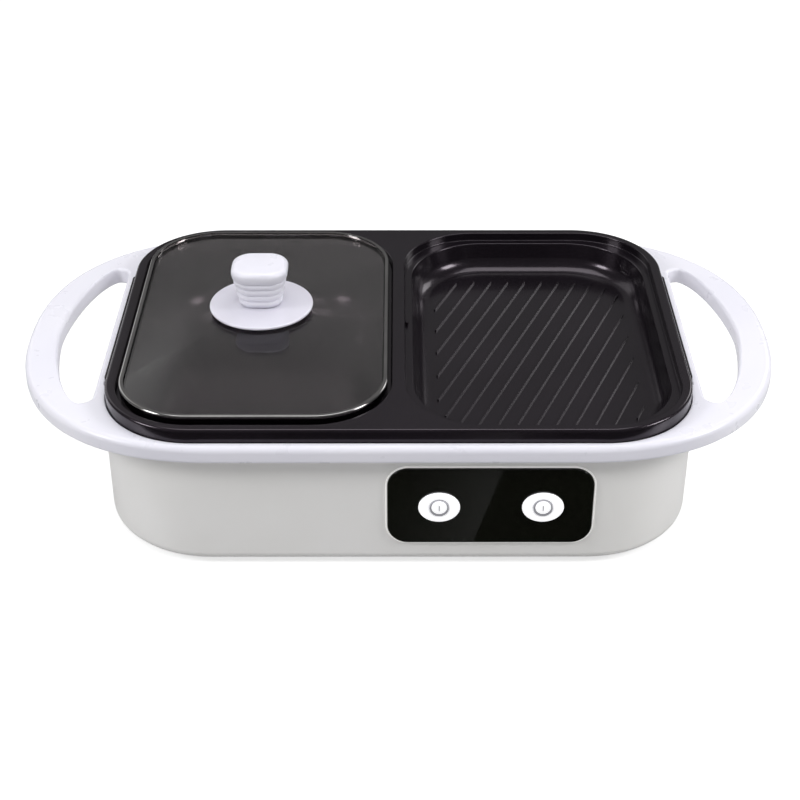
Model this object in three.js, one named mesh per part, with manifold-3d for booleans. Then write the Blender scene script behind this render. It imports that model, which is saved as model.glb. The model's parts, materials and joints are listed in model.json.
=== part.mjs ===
// Electric hot pot with a grill side: one cast pan plate with two wells in a white loop-handled frame,
// a lower housing with the control panel, heaters underneath, and a glass lid over the pot well.
// Millimetres, +Z up, the front with the controls faces -Y. Origin on the ground under the middle.

import * as THREE from 'three';
import { mergeVertices } from 'three/addons/utils/BufferGeometryUtils.js';
import Module from 'manifold-3d';

const wasm = await Module();
wasm.setup();

// Clearances and cutting
const SEAT_GAP = 0.3;          // between two pieces that rest on each other
const SLIP = 0.4;              // around a piece that drops into another
const OVERRUN = 2;             // how far a cutter runs past the face it opens
const EMBED = 1;               // how deep a boss or rib is rooted in its own wall

// Facets
const CORNER_STEPS = 5;        // per wide rounded corner
const SMALL_CORNER_STEPS = 3;  // per small one
const SMALL_CORNER = 36;       // widest radius of a small corner
const ROUND_SEGMENTS = 12;     // turned pieces
const SCREW_SEGMENTS = 8;      // screws and their holes
const WIDE_SEGMENTS = 24;      // the knob guard
const EDGE_STEPS = 2;          // per rounded edge
const DECK_STEPS = 10;         // per quarter of the handle frame
const RIB_END_STEPS = 2;       // round end of a rib
const HAND_STEPS = 12;         // along the outer side of a hand opening

// Stack of heights
const FOOT_PROUD = 4;          // feet below the housing
const BODY_HEIGHT = 88;        // housing, bottom edge to the frame
const FRAME_THICKNESS = 13;    // handle frame
const RIM_PROUD = 9.5;         // pan rim above the frame

// Lower housing
const BODY_WALL = 2.6;
const BODY_EDGE = 8;           // rounded bottom edge
const BODY_SIDE_SPACE = 9.3;   // between a well and the frame's key, at the ends
const BODY_FRONT_SPACE = 0.8;  // and at the front and back
const COVER_LEDGE = 12;        // lip that the base cover bears on
const BOSS_RADIUS = 4.5;
const BOSS_HEIGHT = 11;

// Base cover, its screws and the feet
const COVER_THICKNESS = 2.4;
const VENT_LENGTH = 34;
const VENT_WIDTH = 3;
const VENT_PITCH = 9;
const VENT_COUNT = 5;
const BASE_SCREW_RADIUS = 1.9;
const BASE_SCREW_LENGTH = 10;
const BASE_SCREW_HEAD = 3.6;
const BASE_SCREW_NECK = 0.8;   // straight part of the hole above the countersink
const FOOT_RADIUS = 9;
const FOOT_STEM_RADIUS = 3.8;
const FOOT_BARB = 0.9;         // how far the barb stands out from the stem
const FOOT_BARB_HEIGHT = 1.6;
const FOOT_INSET_X = 52;       // from the side of the housing to a foot
const FOOT_INSET_Y = 48;

// Handle frame
const FRAME_MARGIN = 6.8;      // strip in front of and behind the pan
const FRAME_END_REACH = 147;   // length of each curved end
const FRAME_END_POWER = 2.3;   // fullness of the curved ends
const FRAME_TOP_EDGE = 4.5;
const FRAME_BOTTOM_EDGE = 3;
const FRAME_LEDGE = 9;         // inner ledge that carries the pan
const FRAME_LEDGE_HEIGHT = 8.7;
const FRAME_KEY = 4;           // locating rib that drops inside the housing
const FRAME_KEY_WALL = 2;

// Hand openings
const HAND_BAR = 4;            // from the side of the housing to a hand opening
const HAND_WIDTH = 36.5;
const HAND_HALF_LENGTH = 95;
const HANDLE_BAR = 22;         // bar that the hand holds
const HAND_POWER = 1.6;
const HAND_CORNER = 9;
const HAND_EDGE = 2.5;

// Pan plate
const PAN_HALF_WIDTH = 198.6;
const PAN_HALF_DEPTH = 144.2;
const PAN_CORNER = 66;
const PAN_RIM_EDGE = 2;
const PAN_WALL = 3.5;
const PAN_FLANGE = 4.5;        // thickness of the flat top
const END_PAD_PROUD = 2;       // lifting pads on both ends
const END_PAD_HALF_LENGTH = 82;
const END_PAD_CORNER = 1.5;
const END_PAD_DROP = 4;        // from the rim to the top of a pad
const END_LAND = 6.6;          // flat left outside each well at the ends
const SIDE_LAND = 7.2;         // flat left in front of and behind the wells
const MIDDLE_LAND = 9.2;       // flat between the two wells
const SEAT_DEPTH = 6.3;        // recess that holds the lid
const SEAT_LEDGE = 5.8;
const SEAT_CORNER = 54;
const WELL_CORNER = 58;        // below the lid seat
const WELL_DRAFT = 4.5;        // how much a well narrows to its floor
const POT_DEPTH = 59.5;
const POT_FLOOR_EDGE = 16;
const GRILL_DEPTH = 26;
const GRILL_FLOOR_EDGE = 9;

// Grill ribs
const RIB_PITCH = 13.2;        // measured along the width
const RIB_SHIFT = -2.8;        // of the whole pattern along the width
const RIB_ANGLE_DEG = 22.6;    // lean from the depth axis
const RIB_WIDTH = 2.4;
const RIB_TOP_WIDTH = 1.5;
const RIB_HEIGHT = 2.5;
const RIB_FIELD_HALF_WIDTH = 71;
const RIB_FIELD_HALF_DEPTH = 101.5;
const RIB_FIELD_CORNER = 30;
const RIB_SHORTEST = 14;
const RIB_SCAN_STEPS = 400;    // along the field, to find where a rib starts and ends

// Pan fixing
const PAN_SCREW_SPREAD = 72;   // screws in front of and behind the middle
const PAN_BOSS_RADIUS = 4.5;
const PAN_BOSS_LENGTH = 47;
const PILLAR_RADIUS = 6.5;
const PILLAR_WALL = 2;
const PILLAR_TOP = 10;         // solid top of a pillar
const PAN_SCREW_RADIUS = 1.9;
const PAN_SCREW_GRIP = 11;     // thread in the pan boss
const PAN_SCREW_HEAD = 3.9;
const PAN_SCREW_HEAD_HEIGHT = 2.6;
const SCREW_SLIP = 0.3;
const THREAD_SLIP = 0.05;

// Heaters and their shields
const HEATER_RADIUS = 3.3;
const HEATER_MARGIN = 14;      // from the side of its shield to the heater
const HEATER_BEND = 24;
const HEATER_END_BEND = 6;
const HEATER_END_SPREAD = 18;  // from the middle to each cold end
const HEATER_LEG = 12;         // cold end below the loop
const HEATER_LEG_SPACE = 1.2;  // around a cold end where it passes the shield
const HEATER_PIN_RADIUS = 1.6;
const HEATER_PIN_LENGTH = 8;
const BEND_STEPS = 3;          // per bend of a tube
const HEATER_SIDES = 6;
const SHIELD_MARGIN = 26;      // from the side of a well to its heat shield
const SHIELD_CORNER = 34;
const SHIELD_THICKNESS = 1;
const SHIELD_LIP = 5;
const SHIELD_SCREW_SPREAD = 34;
const SHIELD_BOSS_RADIUS = 4;
const SHIELD_SCREW_RADIUS = 1.5;
const SHIELD_SCREW_HEAD = 3.2;
const SHIELD_SCREW_HEAD_HEIGHT = 1.8;
const SHIELD_SCREW_GRIP = 5;

// Thermostats and thermal fuses
const THERMOSTAT_RADIUS = 9;
const THERMOSTAT_FLANGE = 13;
const THERMOSTAT_FLANGE_HEIGHT = 1.5;
const THERMOSTAT_DROP = 6;     // housing below the flange
const FUSE_RADIUS = 2.5;
const FUSE_LENGTH = 26;
const FUSE_TAB_THICKNESS = 1.2;
const FUSE_TAB_WIDTH = 7;

// Control panel
const PANEL_CENTRE_X = 61.8;
const PANEL_DROP = 53.4;       // its middle below the top of the frame
const PANEL_HALF_WIDTH = 69.3;
const PANEL_HALF_HEIGHT = 30.4;
const PANEL_CORNER = 12;
const PANEL_THICKNESS = 2.8;
const PANEL_POCKET = 1.3;      // how deep the panel sits in the wall
const PANEL_EDGE = 0.8;
const BUTTON_SPREAD = 34.7;    // from the middle of the panel to each button
const BEZEL_HALF_WIDTH = 14;
const BEZEL_HALF_HEIGHT = 11.7;
const BEZEL_THICKNESS = 1.6;
const BEZEL_EDGE = 1;
const COLLAR_WALL = 1.8;
const COLLAR_LENGTH = 10;      // behind the face of the panel
const BUTTON_RADIUS = 6.5;
const BUTTON_PROUD = 1.2;      // edge of the cap above the bezel
const BUTTON_DOME = 2;
const BUTTON_DOME_STEPS = 3;
const BUTTON_FLANGE = 1.4;     // how far the stop flange stands out
const BUTTON_FLANGE_LENGTH = 1.5;
const BUTTON_TRAVEL = 1.5;
const STEM_RADIUS = 1.8;
const SPRING_LENGTH = 7;
const SPRING_WIRE = 0.4;
const SPRING_RADIUS = 4;
const SPRING_TURNS = 4;
const SPRING_STEPS = 6;        // per turn
const SPRING_SIDES = 4;
const SWITCH_HALF = 6;
const SWITCH_LENGTH = 9;
const SWITCH_REACH = 4;        // stem inside the switch at rest
const BOARD_HALF_WIDTH = 48;
const BOARD_HALF_HEIGHT = 19;
const BOARD_THICKNESS = 1.6;
const BOARD_POST_SPREAD = 17;
const BOARD_POST_RADIUS = 3.4;
const BOARD_SCREW_RADIUS = 1.4;
const BOARD_SCREW_HEAD = 2.8;
const BOARD_SCREW_HEAD_HEIGHT = 1.6;
const BOARD_SCREW_GRIP = 8;

// Power inlet at the back
const INLET_X = 60;
const INLET_RISE = 40;         // above the bottom edge of the housing
const INLET_HALF_WIDTH = 13.5;
const INLET_HALF_HEIGHT = 9.5;
const INLET_CORNER = 3;
const INLET_WALL = 2;
const INLET_FLANGE = 4;        // how far the flange stands out around the hole
const INLET_FLANGE_THICKNESS = 2;
const INLET_DEPTH = 20;
const INLET_RECESS = 16;
const INLET_PIN_HALF_WIDTH = 2;
const INLET_PIN_HALF_HEIGHT = 1;
const INLET_PIN_LENGTH = 12;   // in the recess
const INLET_TAB_LENGTH = 8;    // behind the socket
const INLET_PIN_SPREAD = 7;
const INLET_EARTH_RISE = 3.5;

// Terminal block on the base cover
const TERMINAL_X = 60;
const TERMINAL_Y = 70;
const TERMINAL_HALF_LENGTH = 22;
const TERMINAL_HALF_DEPTH = 8;
const TERMINAL_HEIGHT = 13;
const TERMINAL_POLES = 3;
const TERMINAL_HOLE = 2.2;
const TERMINAL_HOLE_DEPTH = 8.7;

// Lid
const LID_CLEARANCE_X = 2.6;   // from the lid to the side of its seat
const LID_CLEARANCE_Y = 3.5;
const LID_CORNER = 50;
const LID_RIM_HEIGHT = 9.8;
const LID_RIM_WALL = 1.2;
const LID_RIM_TOP = 3;         // width of the bright band on top
const LID_RIM_SHELF = 6;       // band under the glass
const GLASS_THICKNESS = 3.6;
const GLASS_DOME = 6.5;
const GLASS_SLIP = 0.3;
const GLASS_RINGS = 5;
const DOME_POWER = 2.4;        // how flat the middle of the glass is

// Knob
const GUARD_RADIUS = 37;
const GUARD_THICKNESS = 2.2;
const GUARD_RISE = 1.8;        // middle above the edge
const GUARD_FLOAT = 4.6;       // edge above the glass
const GUARD_EDGE = 0.7;        // rounding of the outer edge
const GUARD_UNDER_SHARE = 0.75;  // of the rise, on the underside
const GUARD_FLARE_SHARE = 0.3;   // of the rise, halfway out on the top
const GRIP_HALF_WIDTH = 20.5;
const GRIP_HALF_DEPTH = 18.5;
const GRIP_CORNER = 9;
const GRIP_HEIGHT = 30;
const GRIP_EDGE = 2;
const GRIP_HEAD = 9;           // smooth head above the steps
const GRIP_STEPS = 4;
const GRIP_STEP_GROOVE = 0.7;
const GRIP_NECK_HALF = 17.3;   // half width of the neck under the head
const GRIP_FOOT_HALF = 14;     // and where it meets the guard
const KNOB_SCREW_RADIUS = 2.4;
const KNOB_SCREW_HEAD = 6;
const KNOB_SCREW_HEAD_HEIGHT = 2;
const KNOB_SCREW_CHAMFER = 1;
const KNOB_SCREW_GRIP = 14;
const WASHER_RADIUS = 10;
const WASHER_THICKNESS = 1.5;

// Derived heights
const Z_BODY = FOOT_PROUD;
const Z_FRAME_UNDER = Z_BODY + BODY_HEIGHT;
const Z_FRAME = Z_FRAME_UNDER + FRAME_THICKNESS;
const Z_RIM = Z_FRAME + RIM_PROUD;
const Z_SEAT = Z_RIM - SEAT_DEPTH;
const Z_SKIRT = Z_FRAME_UNDER + FRAME_LEDGE_HEIGHT + SEAT_GAP;
const Z_POT_FLOOR = Z_RIM - POT_DEPTH;
const Z_GRILL_FLOOR = Z_RIM - GRILL_DEPTH;
const Z_COVER_TOP = Z_BODY + COVER_THICKNESS;
const Z_LIP = Z_COVER_TOP + SEAT_GAP;
const Z_PAN_BOSS = Z_RIM - PAN_FLANGE - PAN_BOSS_LENGTH;
const Z_PANEL = Z_FRAME - PANEL_DROP;
const Z_INLET = Z_BODY + INLET_RISE;

// Derived plan sizes
const WELL_HALF_WIDTH = (PAN_HALF_WIDTH - END_LAND - MIDDLE_LAND / 2) / 2;
const WELL_HALF_DEPTH = PAN_HALF_DEPTH - SIDE_LAND;
const WELL_CENTRE = MIDDLE_LAND / 2 + WELL_HALF_WIDTH;
const PAN_END = PAN_HALF_WIDTH + END_PAD_PROUD;
const KEY_INSET = BODY_WALL + SLIP;                    // from the housing's face to the frame's key
const BODY_MARGIN = PAN_WALL - SEAT_LEDGE + KEY_INSET + FRAME_KEY_WALL;
const BODY_HALF_WIDTH = WELL_CENTRE + WELL_HALF_WIDTH + BODY_SIDE_SPACE + BODY_MARGIN;
const BODY_HALF_DEPTH = WELL_HALF_DEPTH + BODY_FRONT_SPACE + BODY_MARGIN;
const BODY_CORNER = WELL_CORNER + SEAT_LEDGE + BODY_SIDE_SPACE + BODY_FRONT_SPACE + BODY_MARGIN;
const HAND_INNER = BODY_HALF_WIDTH + HAND_BAR;
const FRAME_HALF_WIDTH = HAND_INNER + HAND_WIDTH + HANDLE_BAR;
const FRAME_HALF_DEPTH = PAN_HALF_DEPTH + FRAME_MARGIN;
const SHIELD_HALF_WIDTH = WELL_HALF_WIDTH - SEAT_LEDGE - SHIELD_MARGIN;
const SHIELD_HALF_DEPTH = WELL_HALF_DEPTH - SEAT_LEDGE - SHIELD_MARGIN;
const HEATER_HALF_WIDTH = SHIELD_HALF_WIDTH - HEATER_MARGIN;
const HEATER_HALF_DEPTH = SHIELD_HALF_DEPTH - HEATER_MARGIN;
const COVER_INSET = BODY_EDGE + BODY_WALL + SLIP;
const BASE_SCREW_INSET = COVER_INSET + COVER_LEDGE / 2;

// Solids

function signedVolume(position, triangles) {
  const a = new THREE.Vector3();
  const b = new THREE.Vector3();
  const c = new THREE.Vector3();
  let sum = 0;
  for (let i = 0; i < triangles.length; i += 3) {
    a.fromArray(position, triangles[i] * 3);
    b.fromArray(position, triangles[i + 1] * 3);
    c.fromArray(position, triangles[i + 2] * 3);
    sum += a.dot(b.cross(c));
  }
  return sum;
}

// Closed geometry to a solid that can be joined and cut
function solid(geometry) {
  const bare = geometry.clone();
  bare.deleteAttribute('normal');
  bare.deleteAttribute('uv');
  const merged = mergeVertices(bare);
  const corners = merged.index.array;
  const kept = [];
  for (let i = 0; i < corners.length; i += 3) {
    const [a, b, c] = [corners[i], corners[i + 1], corners[i + 2]];
    if (a !== b && b !== c && c !== a) kept.push(a, b, c);
  }
  const vertProperties = merged.attributes.position.array;
  if (signedVolume(vertProperties, kept) < 0) kept.reverse();
  return new wasm.Manifold(new wasm.Mesh({ numProp: 3, vertProperties, triVerts: new Uint32Array(kept) }));
}

// Solid back to a geometry
function geometryOf(body) {
  const mesh = body.getMesh();
  const geometry = new THREE.BufferGeometry();
  geometry.setAttribute('position', new THREE.BufferAttribute(new Float32Array(mesh.vertProperties), 3));
  geometry.setIndex(Array.from(mesh.triVerts));
  geometry.computeVertexNormals();
  return geometry;
}

function join(bodies) {
  return bodies.reduce((sum, body) => sum.add(body));
}

function cut(body, cutters) {
  return cutters.reduce((rest, cutter) => rest.subtract(cutter), body);
}

// Rings of equal point count, each joined to the next, closed with flat ends
function skin(rings) {
  const count = rings[0].length;
  const last = rings.length - 1;
  const position = rings.flatMap((ring) => ring.flatMap((point) => point.toArray()));
  const foot = position.length / 3;
  for (const ring of [rings[0], rings[last]]) {
    const middle = ring.reduce((sum, point) => sum.add(point), new THREE.Vector3()).divideScalar(count);
    position.push(...middle.toArray());
  }
  const index = [];
  for (let k = 0; k < count; k++) {
    const next = (k + 1) % count;
    index.push(foot, next, k);
    index.push(foot + 1, last * count + k, last * count + next);
    for (let r = 0; r < last; r++) {
      const low = r * count;
      const high = low + count;
      index.push(low + k, low + next, high + next);
      index.push(low + k, high + next, high + k);
    }
  }
  const geometry = new THREE.BufferGeometry();
  geometry.setAttribute('position', new THREE.Float32BufferAttribute(position, 3));
  geometry.setIndex(index);
  return solid(geometry);
}

// Outlines stacked along Z
function loft(rings) {
  return skin(rings.map(({ points, z }) => points.map((point) => new THREE.Vector3(point.x, point.y, z))));
}

// Rounded rectangle, counter-clockwise
function roundedOutline(halfWidth, halfDepth, corner, centreX = 0, centreY = 0) {
  const radius = Math.max(Math.min(corner, halfWidth, halfDepth), 0);
  const steps = corner > SMALL_CORNER ? CORNER_STEPS : SMALL_CORNER_STEPS;
  const points = [];
  for (let quarter = 0; quarter < 4; quarter++) {
    const signX = quarter === 0 || quarter === 3 ? 1 : -1;
    const signY = quarter < 2 ? 1 : -1;
    for (let k = 0; k <= steps; k++) {
      const angle = (quarter + k / steps) * Math.PI / 2;
      points.push(new THREE.Vector2(
        centreX + signX * (halfWidth - radius) + radius * Math.cos(angle),
        centreY + signY * (halfDepth - radius) + radius * Math.sin(angle),
      ));
    }
  }
  return points;
}

// Insets and heights of a wall with a rounded bottom and a rounded top edge
function edgeProfile(low, high, lowRadius, highRadius) {
  const profile = [];
  for (let k = 0; k <= EDGE_STEPS && lowRadius > 0; k++) {
    const angle = k / EDGE_STEPS * Math.PI / 2;
    profile.push([lowRadius * (1 - Math.sin(angle)), low + lowRadius * (1 - Math.cos(angle))]);
  }
  if (lowRadius <= 0) profile.push([0, low]);
  for (let k = 0; k <= EDGE_STEPS && highRadius > 0; k++) {
    const angle = k / EDGE_STEPS * Math.PI / 2;
    profile.push([highRadius * (1 - Math.cos(angle)), high - highRadius * (1 - Math.sin(angle))]);
  }
  if (highRadius <= 0) profile.push([0, high]);
  return profile;
}

// Plate of a given outline with rounded edges
function softPlate(outlineAt, low, high, lowRadius = 0, highRadius = 0) {
  const profile = edgeProfile(low, high, lowRadius, highRadius);
  return loft(profile.map(([inset, z]) => ({ points: outlineAt(inset), z })));
}

function roundedPlate(halfWidth, halfDepth, corner, low, high, options = {}) {
  const { x = 0, y = 0, lowRadius = 0, highRadius = 0 } = options;
  const outlineAt = (inset) => roundedOutline(halfWidth - inset, halfDepth - inset, corner - inset, x, y);
  return softPlate(outlineAt, low, high, lowRadius, highRadius);
}

// Turned piece about Z, from a profile of radius and height
function turned(profile, x = 0, y = 0, segments = ROUND_SEGMENTS) {
  const lathe = new THREE.LatheGeometry(profile.map(([r, z]) => new THREE.Vector2(r, z)), segments);
  lathe.rotateX(Math.PI / 2);
  lathe.translate(x, y, 0);
  return solid(lathe);
}

function cylinder(radius, low, high, x = 0, y = 0, segments = ROUND_SEGMENTS) {
  return turned([[0, low], [radius, low], [radius, high], [0, high]], x, y, segments);
}

function screwHole(radius, low, high, x = 0, y = 0) {
  return cylinder(radius, low, high, x, y, SCREW_SEGMENTS);
}

function block(halfX, halfY, low, high, x = 0, y = 0) {
  const box = new THREE.BoxGeometry(2 * halfX, 2 * halfY, high - low);
  box.translate(x, y, (low + high) / 2);
  return solid(box);
}

// Piece drawn lying on its back, stood up so that its height points to the back of the object
function facingBack(body, x, y, z) {
  return body.rotate([-90, 0, 0]).translate([x, y, z]);
}

// Round wire or tube along a line of points
function tube(points, radius, sides) {
  const last = points.length - 1;
  const normal = new THREE.Vector3(1, 0, 0);
  const rings = points.map((point, k) => {
    const tangent = points[Math.min(k + 1, last)].clone().sub(points[Math.max(k - 1, 0)]).normalize();
    normal.addScaledVector(tangent, -normal.dot(tangent)).normalize();
    const binormal = tangent.cross(normal);
    const ring = [];
    for (let n = 0; n < sides; n++) {
      const angle = n / sides * 2 * Math.PI;
      ring.push(point.clone()
        .addScaledVector(normal, radius * Math.cos(angle))
        .addScaledVector(binormal, radius * Math.sin(angle)));
    }
    return ring;
  });
  return skin(rings);
}

// Line of points whose corners are rounded, each by its own bend
function roundedLine(corners, bends) {
  const last = corners.length - 1;
  const points = [corners[0]];
  for (let k = 1; k < last; k++) {
    const back = corners[k - 1].clone().sub(corners[k]).setLength(bends[k - 1]).add(corners[k]);
    const ahead = corners[k + 1].clone().sub(corners[k]).setLength(bends[k - 1]).add(corners[k]);
    points.push(...new THREE.QuadraticBezierCurve3(back, corners[k], ahead).getPoints(BEND_STEPS));
  }
  return [...points, corners[last]];
}

// Materials

const finishes = {
  whitePlastic: { color: 0xf2f0f6, roughness: 0.32, metalness: 0 },
  housingPlastic: { color: 0xdcdad8, roughness: 0.38, metalness: 0 },
  nonStick: { color: 0x37343a, roughness: 0.42, metalness: 0.25 },
  blackGlass: { color: 0x0e0f0c, roughness: 0.08, metalness: 0 },
  smokedGlass: { color: 0x5a5557, roughness: 0.05, metalness: 0, transparent: true, opacity: 0.5 },
  steel: { color: 0xc9cacd, roughness: 0.25, metalness: 1 },
  aluminised: { color: 0xa9abad, roughness: 0.45, metalness: 1 },
  heater: { color: 0x4c4f52, roughness: 0.5, metalness: 0.8 },
  buttonWhite: { color: 0xe9e9ee, roughness: 0.2, metalness: 0.1 },
  rubber: { color: 0x2b2b2d, roughness: 0.8, metalness: 0 },
  silicone: { color: 0xd8d8d6, roughness: 0.6, metalness: 0 },
  blackPlastic: { color: 0x1d1d1f, roughness: 0.5, metalness: 0 },
  brass: { color: 0xc2a25c, roughness: 0.3, metalness: 1 },
  board: { color: 0x2c5a3a, roughness: 0.5, metalness: 0 },
  ceramic: { color: 0xe4e0d6, roughness: 0.6, metalness: 0 },
};

const object = new THREE.Group();

function addPart(name, body, finish) {
  const mesh = new THREE.Mesh(geometryOf(body), new THREE.MeshStandardMaterial(finishes[finish]));
  mesh.name = name;
  object.add(mesh);
}

// Lower housing

function bodyOutline(inset) {
  return roundedOutline(BODY_HALF_WIDTH - inset, BODY_HALF_DEPTH - inset, BODY_CORNER - inset);
}

// The four corners of a rectangle pattern laid on the diagonal of the housing's corners
function cornerPlaces(inset) {
  const reach = (BODY_CORNER - inset) * Math.SQRT1_2;
  const x = BODY_HALF_WIDTH - BODY_CORNER + reach;
  const y = BODY_HALF_DEPTH - BODY_CORNER + reach;
  return [
    ['front_left', -x, -y],
    ['front_right', x, -y],
    ['rear_left', -x, y],
    ['rear_right', x, y],
  ];
}

const Y_WALL = -BODY_HALF_DEPTH;                       // outer face of the front wall
const Y_PANEL_BACK = Y_WALL + PANEL_POCKET - SEAT_GAP;
const Y_PANEL = Y_PANEL_BACK - PANEL_THICKNESS;        // face of the panel
const COLLAR_RADIUS = BUTTON_RADIUS + SLIP + COLLAR_WALL;
const Y_COLLAR_END = Y_PANEL + COLLAR_LENGTH;
const Y_FLANGE = Y_COLLAR_END + SEAT_GAP;
const Y_FLANGE_BACK = Y_FLANGE + BUTTON_FLANGE_LENGTH;
const Y_SPRING = Y_FLANGE_BACK + SEAT_GAP;
const Y_SWITCH = Y_SPRING + SPRING_LENGTH + SEAT_GAP;
const Y_BOARD = Y_SWITCH + SWITCH_LENGTH + SEAT_GAP;
const Y_BOARD_BACK = Y_BOARD + BOARD_THICKNESS;
const buttonPlaces = [
  ['pot', PANEL_CENTRE_X - BUTTON_SPREAD],
  ['grill', PANEL_CENTRE_X + BUTTON_SPREAD],
];
const boardPostPlaces = [
  ['left', PANEL_CENTRE_X - BOARD_POST_SPREAD],
  ['right', PANEL_CENTRE_X + BOARD_POST_SPREAD],
];

function boardPosts() {
  return boardPostPlaces.map(([, x]) => {
    const length = Y_BOARD - SEAT_GAP - (Y_WALL + BODY_WALL) + EMBED;
    return facingBack(cylinder(BOARD_POST_RADIUS, 0, length), x, Y_WALL + BODY_WALL - EMBED, Z_PANEL);
  });
}

function lowerHousing() {
  const shell = softPlate(bodyOutline, Z_BODY, Z_FRAME_UNDER - SEAT_GAP, BODY_EDGE, 0);
  const zFloor = Z_LIP + BODY_WALL;
  const inner = softPlate((inset) => bodyOutline(BODY_WALL + inset), zFloor, Z_FRAME_UNDER + OVERRUN,
    BODY_EDGE - BODY_WALL, 0);
  const mouth = softPlate(() => bodyOutline(COVER_INSET + COVER_LEDGE), Z_BODY - OVERRUN, zFloor + OVERRUN);
  const recess = softPlate(() => bodyOutline(COVER_INSET - SLIP), Z_BODY - OVERRUN, Z_LIP);
  const bosses = cornerPlaces(BASE_SCREW_INSET).map(([, x, y]) =>
    cylinder(BOSS_RADIUS, Z_LIP, Z_LIP + BOSS_HEIGHT, x, y));
  const bossBores = cornerPlaces(BASE_SCREW_INSET).map(([, x, y]) =>
    screwHole(BASE_SCREW_RADIUS + THREAD_SLIP, Z_LIP - OVERRUN, Z_LIP + BOSS_HEIGHT + OVERRUN, x, y));
  const pocket = facingBack(roundedPlate(PANEL_HALF_WIDTH + SLIP, PANEL_HALF_HEIGHT + SLIP,
    PANEL_CORNER + SLIP, -OVERRUN - PANEL_THICKNESS, PANEL_POCKET), PANEL_CENTRE_X, Y_WALL, Z_PANEL);
  const collarHoles = buttonPlaces.map(([, x]) =>
    facingBack(cylinder(COLLAR_RADIUS + SLIP, -OVERRUN, BODY_WALL + OVERRUN), x, Y_WALL, Z_PANEL));
  const postBores = boardPostPlaces.map(([, x]) => facingBack(
    screwHole(BOARD_SCREW_RADIUS + THREAD_SLIP, -BOARD_SCREW_GRIP - OVERRUN, OVERRUN),
    x, Y_BOARD - SEAT_GAP, Z_PANEL));
  const inletHole = facingBack(roundedPlate(INLET_HALF_WIDTH + INLET_WALL + SLIP,
    INLET_HALF_HEIGHT + INLET_WALL + SLIP, INLET_CORNER + INLET_WALL + SLIP,
    -BODY_WALL - OVERRUN, OVERRUN), INLET_X, BODY_HALF_DEPTH, Z_INLET);
  const hollow = cut(shell, [inner, mouth, recess]);
  return cut(join([hollow, ...bosses, ...boardPosts()]),
    [...bossBores, pocket, ...collarHoles, ...postBores, inletHole]);
}

// Base cover with vents and the two pillars under the pan

const panScrewPlaces = [['front', -PAN_SCREW_SPREAD], ['rear', PAN_SCREW_SPREAD]];
const FOOT_X = BODY_HALF_WIDTH - FOOT_INSET_X;
const FOOT_Y = BODY_HALF_DEPTH - FOOT_INSET_Y;
const footPlaces = [
  ['front_left', -FOOT_X, -FOOT_Y],
  ['front_right', FOOT_X, -FOOT_Y],
  ['rear_left', -FOOT_X, FOOT_Y],
  ['rear_right', FOOT_X, FOOT_Y],
];

function ventSlots(centreX) {
  const slots = [];
  for (let k = 0; k < VENT_COUNT; k++) {
    const x = centreX + (k - (VENT_COUNT - 1) / 2) * VENT_PITCH;
    slots.push(block(VENT_WIDTH / 2, VENT_LENGTH / 2, Z_BODY - OVERRUN, Z_COVER_TOP + OVERRUN, x));
  }
  return slots;
}

function baseCover() {
  const plate = softPlate(() => bodyOutline(COVER_INSET), Z_BODY, Z_COVER_TOP);
  const zTop = Z_PAN_BOSS - SEAT_GAP;
  const pillars = panScrewPlaces.map(([, y]) =>
    cylinder(PILLAR_RADIUS, Z_COVER_TOP - EMBED, zTop, 0, y));
  const wells = panScrewPlaces.map(([, y]) =>
    cylinder(PILLAR_RADIUS - PILLAR_WALL, Z_BODY - OVERRUN, zTop - PILLAR_TOP, 0, y));
  const bores = panScrewPlaces.map(([, y]) =>
    screwHole(PAN_SCREW_RADIUS + SCREW_SLIP, zTop - PILLAR_TOP - OVERRUN, zTop + OVERRUN, 0, y));
  const screwHoles = cornerPlaces(BASE_SCREW_INSET).map(([, x, y]) => turned([
    [0, Z_BODY - OVERRUN],
    [BASE_SCREW_HEAD + SLIP, Z_BODY - OVERRUN],
    [BASE_SCREW_HEAD + SLIP, Z_BODY],
    [BASE_SCREW_RADIUS + SCREW_SLIP, Z_COVER_TOP - BASE_SCREW_NECK],
    [BASE_SCREW_RADIUS + SCREW_SLIP, Z_COVER_TOP + OVERRUN],
    [0, Z_COVER_TOP + OVERRUN],
  ], x, y, SCREW_SEGMENTS));
  const stemHoles = footPlaces.map(([, x, y]) =>
    cylinder(FOOT_STEM_RADIUS + SLIP, Z_BODY - OVERRUN, Z_COVER_TOP + OVERRUN, x, y));
  return cut(join([plate, ...pillars]), [
    ...wells, ...bores, ...screwHoles, ...stemHoles,
    ...ventSlots(-WELL_CENTRE), ...ventSlots(WELL_CENTRE),
  ]);
}

// Countersunk screw up through the base cover
function baseScrew(x, y) {
  const zNeck = Z_COVER_TOP - BASE_SCREW_NECK;
  return turned([
    [0, Z_BODY + SEAT_GAP],
    [BASE_SCREW_HEAD, Z_BODY + SEAT_GAP],
    [BASE_SCREW_RADIUS, zNeck],
    [BASE_SCREW_RADIUS, Z_BODY + BASE_SCREW_LENGTH],
    [0, Z_BODY + BASE_SCREW_LENGTH],
  ], x, y, SCREW_SEGMENTS);
}

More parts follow.
